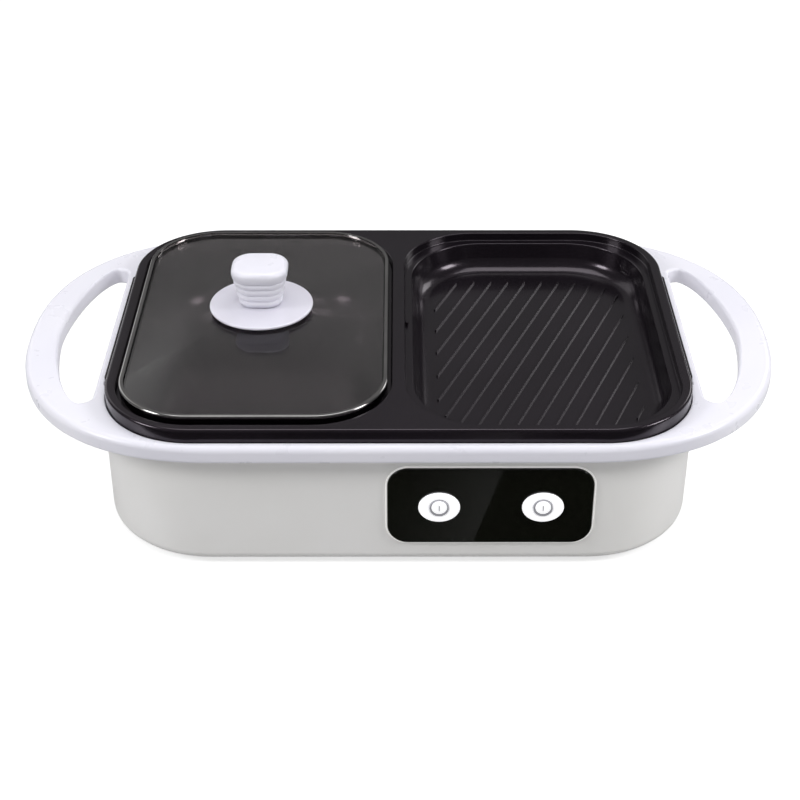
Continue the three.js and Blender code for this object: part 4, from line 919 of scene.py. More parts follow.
@dataclass
class Paintshop:
    """The finishes of the object, each made at its first use."""

    finishes: dict[str, Finish] = field(default_factory=catalogue)
    made: dict[str, bpy.types.Material] = field(default_factory=dict)

    def material(self, slot: str) -> bpy.types.Material:
        """The material of a slot.

        Args:
            slot: Name of the slot.

        Returns:
            The material.
        """
        if slot not in self.made:
            self.made[slot] = self.finishes[slot].make()
        return self.made[slot]

    def dress_node(self, node: str, slot: str) -> None:
        """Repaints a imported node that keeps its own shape."""
        for place in frame["nodes"][node].material_slots:
            place.material = self.material(slot)

    def hand_over(self, blank: Blank, slot: str, body: Body, *nodes: str, look: str = "") -> None:
        """Paints a finished piece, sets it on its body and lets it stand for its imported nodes.

        Args:
            blank: The finished workpiece.
            slot: The record's slot that it takes its finish from.
            body: The body that it rides on.
            nodes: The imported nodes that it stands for.
            look: Another finish than the slot's own, or nothing.
        """
        blank.obj.data.materials.clear()
        blank.obj.data.materials.append(self.material(look or slot))
        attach(blank.obj, body.value)
        if nodes:
            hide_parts(*nodes)
        LOG.info("%s: %d faces, on %s", blank.obj.name, len(blank.obj.data.polygons), body.value)


# Sub-assemblies


@dataclass
class LowerHousing:
    """The pale tub under the frame, open at the bottom, with the panel's pocket and the inlet's hole."""

    half: Pair = (0.2050, 0.1405)
    corner: float = 0.0765
    low: float = 0.004
    high: float = 0.0917
    wall: float = 0.0026
    edge: float = 0.008
    mouth_inset: float = 0.0225
    mouth_recess: float = 0.0105
    lip: float = 0.0067
    pocket_at: Pair = (0.0613, 0.0519)
    pocket_half: Pair = (0.0697, 0.0308)
    pocket_corner: float = 0.0144
    pocket_depth: float = 0.0013
    inlet_at: Pair = (0.060, 0.044)
    inlet_half: Pair = (0.0159, 0.0119)
    inlet_corner: float = 0.0054

    def plate(self, name: str, by: float, low: float, high: float) -> Blank:
        """The housing's outline, drawn in by a length, as a plate."""
        return slab(name, inset(self.half, by), self.corner - by, low, high, segments=36)

    def build(self) -> Blank:
        """Models the housing.

        Returns:
            The housing.
        """
        floor = self.lip + self.wall
        shell = self.plate("housing_shell", 0.0, self.low, self.high)
        shell.round_rim(self.low, self.edge, segments=8)
        inside = self.plate("inside", self.wall, floor, self.high + OVERRUN)
        inside.round_rim(floor, self.edge - self.wall, segments=4)
        mouth = self.plate("mouth", self.mouth_inset, self.low - OVERRUN, floor + OVERRUN)
        recess = self.plate("recess", self.mouth_recess, self.low - OVERRUN, self.lip)
        front, back = -self.half[1], self.half[1]
        pocket = upright("pocket", self.pocket_at, self.pocket_half, self.pocket_corner,
                         (front - WIDE_OVERRUN, front + self.pocket_depth), segments=10)
        inlet = upright("inlet_hole", self.inlet_at, self.inlet_half, self.inlet_corner,
                        (back - self.wall - OVERRUN, back + OVERRUN), segments=10)
        return shell.cut(inside, mouth, recess, pocket, inlet).smooth()

    def dress(self, shop: Paintshop) -> None:
        """Builds and paints the housing."""
        shop.hand_over(self.build(), "housing_plastic", Body.COOKER, "lower_housing")


@dataclass
class HandleFrame:
    """The white deck with curved ends, a seat for the pan and a hand opening at each end."""

    half_width: float = 0.2665
    half_depth: float = 0.151
    low: float = 0.092
    high: float = 0.105
    end_reach: float = 0.147
    end_profile: float = 0.5473
    end_fill: float = 0.9995
    top_edge: float = 0.0045
    low_edge: float = 0.003
    pan_half: Pair = (0.200, 0.1446)
    pan_corner: float = 0.0640
    pad_half: Pair = (0.2024, 0.0739)
    pad_corner: float = 0.0019
    seat_floor: float = 0.1007
    seat_edge: float = 0.0008
    mouth_half: Pair = (0.1896, 0.1352)
    mouth_corner: float = 0.057
    mouth_drop: float = 0.01
    key_half: Pair = (0.201, 0.1375)
    key_corner: float = 0.0735
    key_wall: float = 0.002
    key_depth: float = 0.004
    key_root: float = 0.001
    hand_inner: float = 0.208
    hand_width: float = 0.0365
    hand_half: float = 0.095
    hand_corner: float = 0.009
    hand_fill: float = 0.98
    hand_power: float = 1.6
    hand_crowding: float = 1.5
    hand_sweep: float = 0.985
    hand_edge: float = 0.0025
    hand_steps: int = 32

    def hand_cutter(self, side: int) -> Blank:
        """Cutter of one hand opening: straight along the pan, bowed on the outside.

        Args:
            side: -1 for the left, 1 for the right.

        Returns:
            The cutter.
        """
        facing = Facing.RIGHT if side > 0 else Facing.LEFT
        start = self.hand_inner + self.hand_corner
        low, high = self.low + self.hand_edge, self.high - self.hand_edge
        xs = sorted((side * self.hand_inner, side * start))
        blank = Blank.box("hand_cutter", (xs[0], -self.hand_half, low), (xs[1], self.hand_half, high))
        blank.round_uprights(self.hand_corner * self.hand_fill, segments=8,
                             where=lambda middle: abs(middle.x) < self.hand_inner + NEAR)
        reach = self.hand_width - self.hand_corner
        share = 2 / self.hand_power
        rings = []
        for step in shares(self.hand_steps, first=0):
            angle = step ** self.hand_crowding * self.hand_sweep * math.pi / 2
            rings.append((self.hand_half * math.cos(angle) ** share, 1.0, reach * math.sin(angle) ** share))
        with blank.editing():
            blank.pick(Item.FACES, lambda f: abs(abs(f.calc_center_median().x) - start) < NEAR)
            blank.climb(rings, (side * start, 0.0, (low + high) / 2), facing)
        middle = (side * (self.hand_inner + self.hand_width / 2), 0.0, 0.0)
        half = (self.hand_width / 2, self.hand_half)
        blank.flare(half, middle, self.high, self.hand_edge)
        return blank.flare(half, middle, self.low, self.hand_edge, upwards=False)

    def seat_cutter(self, name: str, half: Pair, corner: float, segments: int) -> Blank:
        """Cutter of a recess in the deck, down to the floor of the pan's seat."""
        blank = slab(name, half, corner, self.seat_floor, self.high - self.seat_edge, segments=segments)
        return blank.flare(half, ORIGIN, self.high, self.seat_edge)

    def build(self) -> Blank:
        """Models the frame.

        Returns:
            The frame.
        """
        deck = slab("frame_deck", (self.half_width, self.end_reach), self.end_reach * self.end_fill,
                    self.low, self.high, segments=44, profile=self.end_profile)
        with deck.editing():
            bpy.ops.mesh.select_all(action="SELECT")
            deck.resize(1.0, self.half_depth / self.end_reach, ORIGIN, Facing.UP)
        deck.round_rim(self.high, self.top_edge, segments=8)
        deck.round_rim(self.low, self.low_edge, segments=5)
        key = slab("key", self.key_half, self.key_corner, self.low - self.key_depth, self.low + self.key_root)
        key.cut(slab("key_inside", inset(self.key_half, self.key_wall), self.key_corner - self.key_wall,
                     self.low - 2 * self.key_depth, self.low + self.key_depth))
        deck.fuse(key)
        seat = self.seat_cutter("seat", self.pan_half, self.pan_corner, segments=32)
        pads = self.seat_cutter("pads", self.pad_half, self.pad_corner, segments=5)
        mouth = slab("mouth", self.mouth_half, self.mouth_corner, self.low - self.mouth_drop, self.high)
        deck.cut(seat, pads, mouth, self.hand_cutter(-1), self.hand_cutter(1))
        return deck.smooth(angle=38.0)

    def dress(self, shop: Paintshop) -> None:
        """Builds and paints the frame."""
        shop.hand_over(self.build(), "white_plastic", Body.COOKER, "handle_frame")


@dataclass
class Well:
    """One well of the pan: its middle, its floor, its floor's edge radius and how much it narrows."""

    x: float
    floor: float
    floor_edge: float
    draft: float


@dataclass
class PanPlate:
    """The dark casting: a rounded plate with two wells, a lid seat round each and the grill ribs."""

    half: Pair = (0.1996, 0.1442)
    corner: float = 0.0636
    low: float = 0.101
    high: float = 0.1145
    rim_edge: float = 0.002
    pad_half: Pair = (0.2020, 0.0735)
    pad_root: float = 0.0066
    pad_drop: float = 0.004
    pad_edge: float = 0.0008
    pad_corner: float = 0.0024
    wall: float = 0.0035
    seat_half: Pair = (0.0937, 0.137)
    seat_corner: float = 0.054
    seat_floor: float = 0.1082
    seat_ledge: float = 0.0058
    well_corner: float = 0.058
    bowl_overlap: float = 0.004
    lip: float = 0.0009
    rib_pitch: float = 0.0132
    rib_shift: float = -0.0028
    rib_shortest: float = 0.014
    rib_lean: float = math.radians(22.6)
    rib_width: float = 0.0013
    rib_height: float = 0.0014
    rib_root: float = 0.001
    rib_fill: float = 0.97
    rib_round: float = 0.35
    rib_blank: float = 0.02
    rib_reach: int = 10
    rib_scan: int = 600
    field_half: Pair = (0.071, 0.1015)
    field_corner: float = 0.027
    pip_at: Triple = (0.0062, 0.0028, 0.1082)
    pip_rings: tuple[Pair, ...] = ((0.0015, -0.001), (0.0015, 0.0022), (0.0011, 0.0030), (0.0004, 0.0033))
    pot: Well = field(default_factory=lambda: Well(-0.0983, 0.0525, 0.022, 0.0095))
    grill: Well = field(default_factory=lambda: Well(0.0983, 0.0885, 0.009, 0.0045))

    def well_cutter(self, well: Well) -> Blank:
        """Cutter of a well below its seat: walls that narrow down to a rounded floor edge.

        Args:
            well: The well.

        Returns:
            The cutter.
        """
        top = inset(self.seat_half, self.seat_ledge)
        bottom = inset(top, well.draft)
        end = self.seat_floor - self.lip
        centre = (well.x, 0.0, 0.0)
        blank = slab("well_cutter", bottom, self.well_corner - well.draft, well.floor, end, centre[:2],
                     segments=28)
        with blank.editing():
            blank.pick_end(end)
            blank.resize(top[0] / bottom[0], top[1] / bottom[1], centre, Facing.UP)
        blank.round_rim(well.floor, well.floor_edge, segments=10)
        return blank.flare(top, centre, self.seat_floor, self.lip, WIDE_OVERRUN)

    def seat_cutter(self, well: Well) -> Blank:
        """Cutter of the recess that the lid sits in."""
        centre = (well.x, 0.0, 0.0)
        blank = slab("seat_cutter", self.seat_half, self.seat_corner, self.seat_floor, self.high - self.lip,
                     centre[:2], segments=28)
        blank.round_rim(self.seat_floor, self.lip, segments=3)
        return blank.flare(self.seat_half, centre, self.high, self.lip, WIDE_OVERRUN)

    def pad(self, side: int) -> Blank:
        """End pad of the plate, which stands out beside the hand opening.

        Args:
            side: -1 for the left, 1 for the right.

        Returns:
            The pad.
        """
        reach, half_y = self.pad_half
        half_x = self.pad_root / 2
        top = self.high - self.pad_drop
        middle = (side * (reach - half_x), 0.0)
        pad = slab("pad", (half_x, half_y), self.pad_corner, self.low, top, middle, segments=4)
        return pad.round_rim(top, self.pad_edge, segments=4)

    def bowl(self, well: Well) -> Blank:
        """Outside of a well, under the plate."""
        half = inset(self.seat_half, self.seat_ledge - self.wall)
        under = well.floor - self.wall
        blank = slab("bowl", half, self.well_corner + self.wall, under, self.low + self.bowl_overlap,
                     (well.x, 0.0), segments=20)
        return blank.round_rim(under, well.floor_edge + self.wall, segments=6)

    def rib_span(self, offset: float) -> Pair | None:
        """Where the line of a rib runs inside the rounded field.

        Args:
            offset: Where the line crosses the middle of the depth, from the middle of the well.

        Returns:
            The depths at which it enters and leaves, or None.
        """
        inside = []
        for share in shares(self.rib_scan, first=0):
            y = (2 * share - 1) * self.field_half[1]
            x = abs(offset + math.tan(self.rib_lean) * y)
            dx = x - (self.field_half[0] - self.field_corner)
            dy = abs(y) - (self.field_half[1] - self.field_corner)
            if x <= self.field_half[0] and (dx <= 0 or dy <= 0 or math.hypot(dx, dy) <= self.field_corner):
                inside.append(y)
        return (inside[0], inside[-1]) if len(inside) > 1 else None

    def ribs(self, well: Well) -> Blank:
        """Models one rib, copies it to every place in the field and joins the copies.

        Args:
            well: The well that the ribs stand in.

        Returns:
            The ribs.
        """
        half = self.rib_width / 2
        top = well.floor + self.rib_height
        model = Blank.box("rib", (-half, 0.0, well.floor - self.rib_root), (half, self.rib_blank, top))
        model.round_uprights(half * self.rib_fill, segments=5)
        model.round_rim(top, half * self.rib_round, segments=3)
        ribs = []
        for k in range(-self.rib_reach, self.rib_reach + 1):
            offset = k * self.rib_pitch + self.rib_shift
            span = self.rib_span(offset)
            run = (span[1] - span[0]) / math.cos(self.rib_lean) if span else 0.0
            if run < self.rib_shortest:
                continue
            rib = model.copy(f"rib_{k}")
            with rib.editing():
                rib.pick(Item.POINTS, lambda v: v.co.y > self.rib_blank / 2)
                bpy.ops.transform.translate(value=(0.0, run - self.rib_blank + self.rib_width, 0.0))
            start = well.x + offset + math.tan(self.rib_lean) * span[0]
            ribs.append(rib.place((start, span[0], 0.0), -self.rib_lean))
        bpy.data.objects.remove(model.obj)
        return ribs[0].add_shells(ribs[1:])

    def build(self) -> Blank:
        """Models the casting.

        Returns:
            The casting.
        """
        wells = (self.pot, self.grill)
        plate = slab("pan_casting", self.half, self.corner, self.low, self.high, segments=36)
        plate.round_rim(self.high, self.rim_edge, segments=5)
        plate.fuse(self.pad(-1), self.pad(1), *(self.bowl(well) for well in wells))
        for well in wells:
            plate.cut(self.well_cutter(well), self.seat_cutter(well))
        return plate.smooth()

    def dress(self, shop: Paintshop) -> None:
        """Builds and paints the casting, its ribs and the pip on the land between the wells."""
        shop.hand_over(self.build(), "non_stick", Body.COOKER, "pan_plate")
        ribs = self.ribs(self.grill)
        ribs.obj.name = "grill_ribs"
        shop.hand_over(ribs.smooth(angle=50.0), "non_stick", Body.COOKER)
        pip = Blank.turned("seat_pip", self.pip_at, self.pip_rings, sides=24)
        shop.hand_over(pip.smooth(), "non_stick", Body.COOKER)


@dataclass
class ControlPanel:
    """The black panel with an oval bezel and a domed push button for each well."""

    x: float = 0.0618
    z: float = 0.0519
    panel_at: Pair = (0.0613, 0.0519)
    half: Pair = (0.0688, 0.0304)
    corner: float = 0.014
    front: float = -0.1423
    back: float = -0.1395
    edge: float = 0.0008
    edging_width: float = 0.0013
    edging_span: Pair = (-0.1412, -0.1403)
    edging_edge: float = 0.0004
    slack: float = 0.0003
    hole_slack: float = 0.0004
    hole_length: float = 0.01
    spread: float = 0.0347
    bezel_half: Pair = (0.0140, 0.0117)
    bezel_front: float = -0.1442
    bezel_rise: tuple[Pair, ...] = ((1.0, 0.0), (1.0, 0.45), (0.985, 0.72), (0.955, 0.9), (0.91, 1.0))
    bore: float = 0.0069
    bore_lip: float = 0.0004
    collar: float = 0.0087
    collar_end: float = -0.1323
    overlap: float = 0.001
    stem_radius: float = 0.0018
    flange_radius: float = 0.0079
    flange_span: Pair = (-0.1305, -0.132)
    button_radius: float = 0.0065
    button_front: float = -0.1449
    button_edge: float = -0.1445
    button_bevel: float = 0.0002
    dome_steps: int = 9
    tip: float = 0.04
    face_radius: float = 0.0052
    face_lift: float = 0.0010
    face_proud: float = 0.0003
    face_depth: float = 0.0008
    face_rim: Pair = (0.96, 0.0001)
    face_rings: tuple[float, ...] = (0.8, 0.6, 0.4, 0.2, 0.04)
    mark_half: Pair = (0.0004, 0.0022)
    mark_fill: float = 0.95
    mark_lift: float = 0.0006
    mark_span: Pair = (-0.0001, 0.0006)

    def outline(self, name: str, grow: float, span: Pair) -> Blank:
        """The panel's outline, grown by a margin, as an upright plate."""
        return upright(name, self.panel_at, inset(self.half, -grow), self.corner + grow, span)

    def turned(self, name: str, x: float, y: float, profile: Sequence[Pair], sides: int = 48) -> Blank:
        """Turns a profile forwards, on the axis of a button."""
        return Blank.turned(name, (x, y, self.z), profile, sides, Facing.FRONT)

    def fascia(self) -> Blank:
        """Models the panel.

        Returns:
            The panel.
        """
        panel = self.outline("fascia", 0.0, (self.front, self.back))
        panel.round_rim(self.front, self.edge, segments=4, axis=1)
        radius = self.collar + self.hole_slack
        for side in (-1, 1):
            panel.cut(self.turned("hole", self.x + side * self.spread, self.back + OVERRUN,
                                  ((radius, 0.0), (radius, self.hole_length))))
        return panel.smooth()

    def edging(self) -> Blank:
        """Models the pale line round the panel, whose finish adds a faint painted glow as a painted highlight.
        """
        ring = self.outline("panel_edging", self.edging_width, self.edging_span)
        ring.round_rim(self.edging_span[0], self.edging_edge, segments=3, axis=1)
        return ring.cut(self.outline("inside", self.slack, (self.front, self.back))).smooth()

    def bezel(self, name: str, x: float) -> Blank:
        """Models an oval bezel with its collar.

        Args:
            name: Name of the piece.
            x: Its middle along the width.

        Returns:
            The bezel.
        """
        rear = self.front - self.slack
        depth = rear - self.bezel_front
        oval = [(self.bezel_half[0] * share, depth * height) for share, height in self.bezel_rise]
        shape = (1.0, self.bezel_half[1] / self.bezel_half[0])
        bezel = Blank.turned(name, (x, rear, self.z), oval, sides=72, facing=Facing.FRONT, shape=shape)
        length = self.collar_end - rear
        bezel.fuse(self.turned("collar", x, self.collar_end,
                               ((self.collar, 0.0), (self.collar, length + self.overlap))))
        end = length + depth + self.overlap
        wide = self.bore + self.bore_lip
        bore = ((self.bore, 0.0), (self.bore, end - self.bore_lip), (wide, end), (wide, end + OVERRUN))
        return bezel.cut(self.turned("bore", x, self.collar_end + self.overlap, bore)).smooth()

    def button(self, name: str, x: float, node: str) -> Blank:
        """Models a push button: a stem, a stop flange and a domed cap with a fine edge.

        Args:
            name: Name of the piece.
            x: Its middle along the width.
            node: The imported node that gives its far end.

        Returns:
            The button.
        """
        stem_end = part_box(node)[1].y
        back, front, edge = (stem_end - y for y in (*self.flange_span, self.button_edge))
        dome = self.button_edge - self.button_front
        radius = self.button_radius
        profile = [(self.stem_radius, 0.0), (self.stem_radius, back), (self.flange_radius, back + STEP),
                   (self.flange_radius, front), (radius, front + STEP), (radius, edge - self.button_bevel)]
        profile += [(radius * cosine, edge + dome * sine)
                    for sine, cosine in quarter(self.dome_steps, last=self.dome_steps - 1)]
        profile.append((radius * self.tip, edge + dome))
        return self.turned(name, x, stem_end, profile).smooth(angle=50.0)

    def face(self, name: str, x: float) -> Blank:
        """Models the faintly domed face let into a cap, a little above its middle; its finish adds a painted
        glow.
        """
        radius, rim = self.face_radius, self.face_depth + self.face_rim[1]
        profile = [(radius, 0.0), (radius, self.face_depth), (radius * self.face_rim[0], rim)]
        profile += [(radius * share, rim + self.face_proud * (1 - share ** 2)) for share in self.face_rings]
        centre = (x, self.button_front + self.face_depth, self.z + self.face_lift)
        return Blank.turned(name, centre, profile, sides=40, facing=Facing.FRONT).smooth(angle=50.0)

    def mark(self, name: str, x: float) -> Blank:
        """Models the short upright stroke let into the middle of a button."""
        front = self.button_front - self.face_proud
        span = (front + self.mark_span[0], front + self.mark_span[1])
        return upright(name, (x, self.z + self.mark_lift), self.mark_half, self.mark_half[0] * self.mark_fill,
                       span, segments=4).smooth()

    def dress(self, shop: Paintshop) -> None:
        """Builds and paints the panel, the bezels and the buttons."""
        shop.hand_over(self.fascia(), "black_glass", Body.COOKER, "control_fascia")
        # The edging takes a faint painted glow, a painted highlight round the panel.
        shop.hand_over(self.edging(), "housing_plastic", Body.COOKER, look="pale_edge")
        for well, side, body in (("pot", -1, Body.POT_BUTTON), ("grill", 1, Body.GRILL_BUTTON)):
            x = self.x + side * self.spread
            node = f"{well}_button"
            # The bezel takes a painted glow.
            shop.hand_over(self.bezel(f"{well}_bezel", x), "white_plastic", Body.COOKER, f"{node}_bezel",
                           look="lit_ring")
            # The button's grey tone paints the shade round its cap, and the face's glow is painted light.
            shop.hand_over(self.button(f"{well}_push_button", x, node), "button_white", body, node)
            shop.hand_over(self.face(f"{well}_button_face", x), "button_white", body, look="cap_face")
            shop.hand_over(self.mark(f"{well}_button_mark", x), "button_white", body, look="mark_grey")


@dataclass
class ReturnSprings:
    """The coil spring behind each push button, which shortens as the button goes in."""

    x: float = 0.0618
    spread: float = 0.0347
    z: float = 0.0516
    back: float = -0.12325
    length: float = 0.007
    travel: float = 0.0015
    radius: float = 0.004
    wire: float = 0.0004
    turns: int = 4
    steps: int = 28

    def coil(self, name: str, x: float) -> Blank:
        """Draws a round wire along a helix.

        Args:
            name: Name of the spring.
            x: Place of the button's axis.

        Returns:
            The spring.
        """
        line = bpy.data.curves.new(name, "CURVE")
        line.dimensions = "3D"
        line.bevel_depth = self.wire
        line.bevel_resolution = 2
        line.use_fill_caps = True
        wire = line.splines.new("POLY")
        count = self.turns * self.steps
        wire.points.add(count)
        climb = self.length - 2 * self.wire
        for k, point in enumerate(wire.points):
            angle = 2 * math.pi * k / self.steps
            y = self.back - self.length + self.wire + climb * k / count
            point.co = (x + self.radius * math.cos(angle), y, self.z + self.radius * math.sin(angle), 1.0)
        obj = bpy.data.objects.new(name, line)
        bpy.context.scene.collection.objects.link(obj)
        Blank(obj).take()
        bpy.ops.object.convert(target="MESH")
        return Blank(bpy.context.object).smooth(merge=NEAR)

    def dress(self, shop: Paintshop) -> None:
        """Builds both springs and gives each a mesh of its own."""
        for well, side in (("pot", -1), ("grill", 1)):
            x = self.x + side * self.spread
            spring = self.coil(f"{well}_return_spring", x)
            shop.hand_over(spring, "screw_steel", Body.COOKER, f"{well}_button_spring")
            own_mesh(spring.obj)


@dataclass
class Lid:
    """The glass lid: a steel rim, a domed smoked glass, a saucer guard and a stepped grip."""

    x: float = -0.0983
    half: Pair = (0.0911, 0.1335)
    corner: float = 0.050
    low: float = 0.1085
    high: float = 0.1183
    wall: float = 0.0012
    band: float = 0.003
    roll: float = 0.0012
    low_edge: float = 0.0004
    shelf: float = 0.006
    slip: float = 0.0003
    glass: float = 0.0036
    dome: float = 0.0090
    dome_power: float = 2.0
    glass_rings: int = 16
    guard_radius: float = 0.037
    guard_edge_low: float = 0.12633
    guard_edge: float = 0.0011
    guard_inset: float = 0.0016
    guard_thickness: float = 0.0022
    guard_rise: float = 0.0018
    guard_hollow: float = 0.75
    guard_sag: float = 1.3
    guard_slope: float = 0.4
    guard_dish: float = 0.0005
    guard_join: float = 0.0006
    hollow_steps: int = 6
    dish_steps: int = 12
    grip_half: Pair = (0.0200, 0.0182)
    grip_corner: float = 0.0105
    foot_corner: float = 0.002
    grip_root: float = 0.0002
    grip_low: float = 0.1314
    grip_high: float = 0.1608
    grip_foot: float = 0.0140
    grip_neck: float = 0.0180
    grip_head: float = 0.0096
    grip_shoulder: float = 0.0050
    grip_round: float = 0.0040
    grip_pillow: float = 0.0006
    grip_steps: int = 4
    bulge: float = 0.0011
    bulge_power: float = 0.8
    bulge_steps: int = 7
    round_steps: int = 8

    @property
    def glass_top(self) -> float:
        """Height of the glass at its edge."""
        return self.high - self.wall - self.slip

    def plate(self, name: str, by: float, low: float, high: float) -> Blank:
        """The lid's outline, drawn in by a length, as a plate."""
        return slab(name, inset(self.half, by), self.corner - by, low, high, (self.x, 0.0), segments=28)

    def rim(self) -> Blank:
        """Models the rolled steel rim.

        Returns:
            The rim.
        """
        shelf = self.glass_top - self.glass - self.slip
        band = self.plate("steel_rim", 0.0, self.low, self.high)
        band.round_rim(self.high, self.roll, segments=8)
        band.round_rim(self.low, self.low_edge, segments=2)
        return band.cut(
            self.plate("top", self.band, shelf - OVERRUN, self.high + OVERRUN),
            self.plate("channel", self.wall, shelf, self.glass_top + self.slip),
            self.plate("opening", self.shelf, self.low - OVERRUN, shelf + OVERRUN),
            self.plate("below", self.wall, self.low - OVERRUN, shelf - self.wall),
        ).smooth()

    def glass_dome(self) -> Blank:
        """Models the glass: a flat edge in the rim and a shallow dome of even thickness.

        Returns:
            The glass.
        """
        under = self.glass_top - self.glass
        plate = self.plate("glass_dome", self.wall + self.slip, under, self.glass_top)
        outer = inset(self.half, self.wall + self.slip)
        full = inset(self.half, self.band)
        for base, sign in ((self.glass_top, 1), (under, -1)):
            rings = [(*outer, base)]
            for share in shares(self.glass_rings, 0, self.glass_rings - 1):
                size = 1 - share
                rise = self.dome * (1 - size ** self.dome_power)
                rings.append((full[0] * size, full[1] * size, base + rise))
            with plate.editing():
                plate.pick_end(base, sign)
                plate.climb(rings, (self.x, 0.0, 0.0))
        return plate.smooth(angle=50.0)

    def guard(self) -> Blank:
        """Models the saucer under the grip, with the hub that stands on the glass.

        Returns:
            The guard.
        """
        low, edge = self.guard_edge_low, self.guard_edge
        foot = self.glass_top + self.dome + self.slip / 3
        hub = self.grip_foot - self.guard_thickness
        hollow = self.guard_rise * self.guard_hollow
        under, top = low + hollow, low + self.guard_thickness
        lip = self.guard_radius - edge
        profile = [(hub, min(foot, low)), (hub, under)]
        reach = self.guard_radius - self.guard_inset - hub
        for share in shares(self.hollow_steps):
            profile.append((hub + reach * share, under - hollow * share ** self.guard_sag))
        for share in shares(self.round_steps, first=0):
            angle = (share - 0.5) * math.pi
            profile.append((lip + edge * math.cos(angle), low + edge + edge * math.sin(angle)))
        for share in shares(self.dish_steps):
            slope = self.guard_slope * share + (1 - self.guard_slope) * share ** 4
            rise = self.guard_rise * slope - self.guard_dish * (1 - share) * share * 4
            profile.append((lip - (lip - self.grip_foot - self.guard_join) * share, top + rise))
        return Blank.turned("saucer_guard", (self.x, 0.0, 0.0), profile, sides=96).smooth(angle=50.0)

    def grip_sizes(self) -> list[Pair]:
        """Half width and height of each ring of the grip, from its foot to the middle of its top."""
        neck = self.grip_high - self.grip_low - self.grip_head
        widen = self.grip_neck - self.grip_foot
        sizes = []
        for k in range(self.grip_steps):
            for share in shares(self.bulge_steps, 0, self.bulge_steps - 1):
                up = (k + share) / self.grip_steps
                bulge = self.bulge * math.sin(math.pi * share) ** self.bulge_power
                sizes.append((self.grip_foot + widen * up + bulge, self.grip_low + up * neck))
        full, shoulder = self.grip_half[0], self.grip_low + neck
        top = self.grip_high - self.grip_pillow
        for sine, cosine in quarter(self.round_steps, first=0):
            sizes.append((self.grip_neck + (full - self.grip_neck) * sine,
                          shoulder + self.grip_shoulder * (1 - cosine)))
        for sine, cosine in quarter(self.round_steps):
            sizes.append((full - self.grip_round * (1 - cosine), top - self.grip_round * (1 - sine)))
        for share in shares(self.round_steps, last=self.round_steps - 1):
            sizes.append(((full - self.grip_round) * (1 - share),
                          top + self.grip_pillow * math.sin(math.pi / 2 * share)))
        return sizes

    def grip(self) -> Blank:
        """Models the grip: a grooved neck that widens into a soft square head.

        Returns:
            The grip.
        """
        squash = self.grip_half[1] / self.grip_half[0]
        rings = [(half, half * squash, height) for half, height in self.grip_sizes()]
        *foot, low = rings[0]
        corner = self.grip_corner * foot[0] / self.grip_half[0] + self.foot_corner
        blank = slab("grip", foot, corner, low - self.grip_root, low, (self.x, 0.0), segments=10)
        with blank.editing():
            blank.pick_end(low)
            blank.climb(rings, (self.x, 0.0, 0.0))
        return blank.smooth(angle=40.0)

    def dress(self, shop: Paintshop) -> None:
        """Builds and paints the lid."""
        shop.hand_over(self.rim(), "steel", Body.LID, "lid_rim")
        shop.hand_over(self.glass_dome(), "smoked_glass", Body.LID, "lid_glass")
        # The guard takes a darker copy of the white plastic: painted shade.
        shop.hand_over(self.guard(), "white_plastic", Body.LID, "knob_guard", look="guard_white")
        shop.hand_over(self.grip(), "white_plastic", Body.LID, "knob_grip")


class PlainNodes:
    """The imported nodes, of which those that no piece stands for are seen as they are."""

    def dress(self, shop: Paintshop) -> None:
        """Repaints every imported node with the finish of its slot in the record."""
        for entry in frame["record"]["subparts"]:
            shop.dress_node(entry["node"], entry["material_slot"])


@dataclass(frozen=True)
class SoftBox:
    """A lamp: its place, its width and height, its power in watts and whether surfaces mirror it."""

    name: str
    at: Triple
    size: Pair
    power: float
    mirrored: bool = True


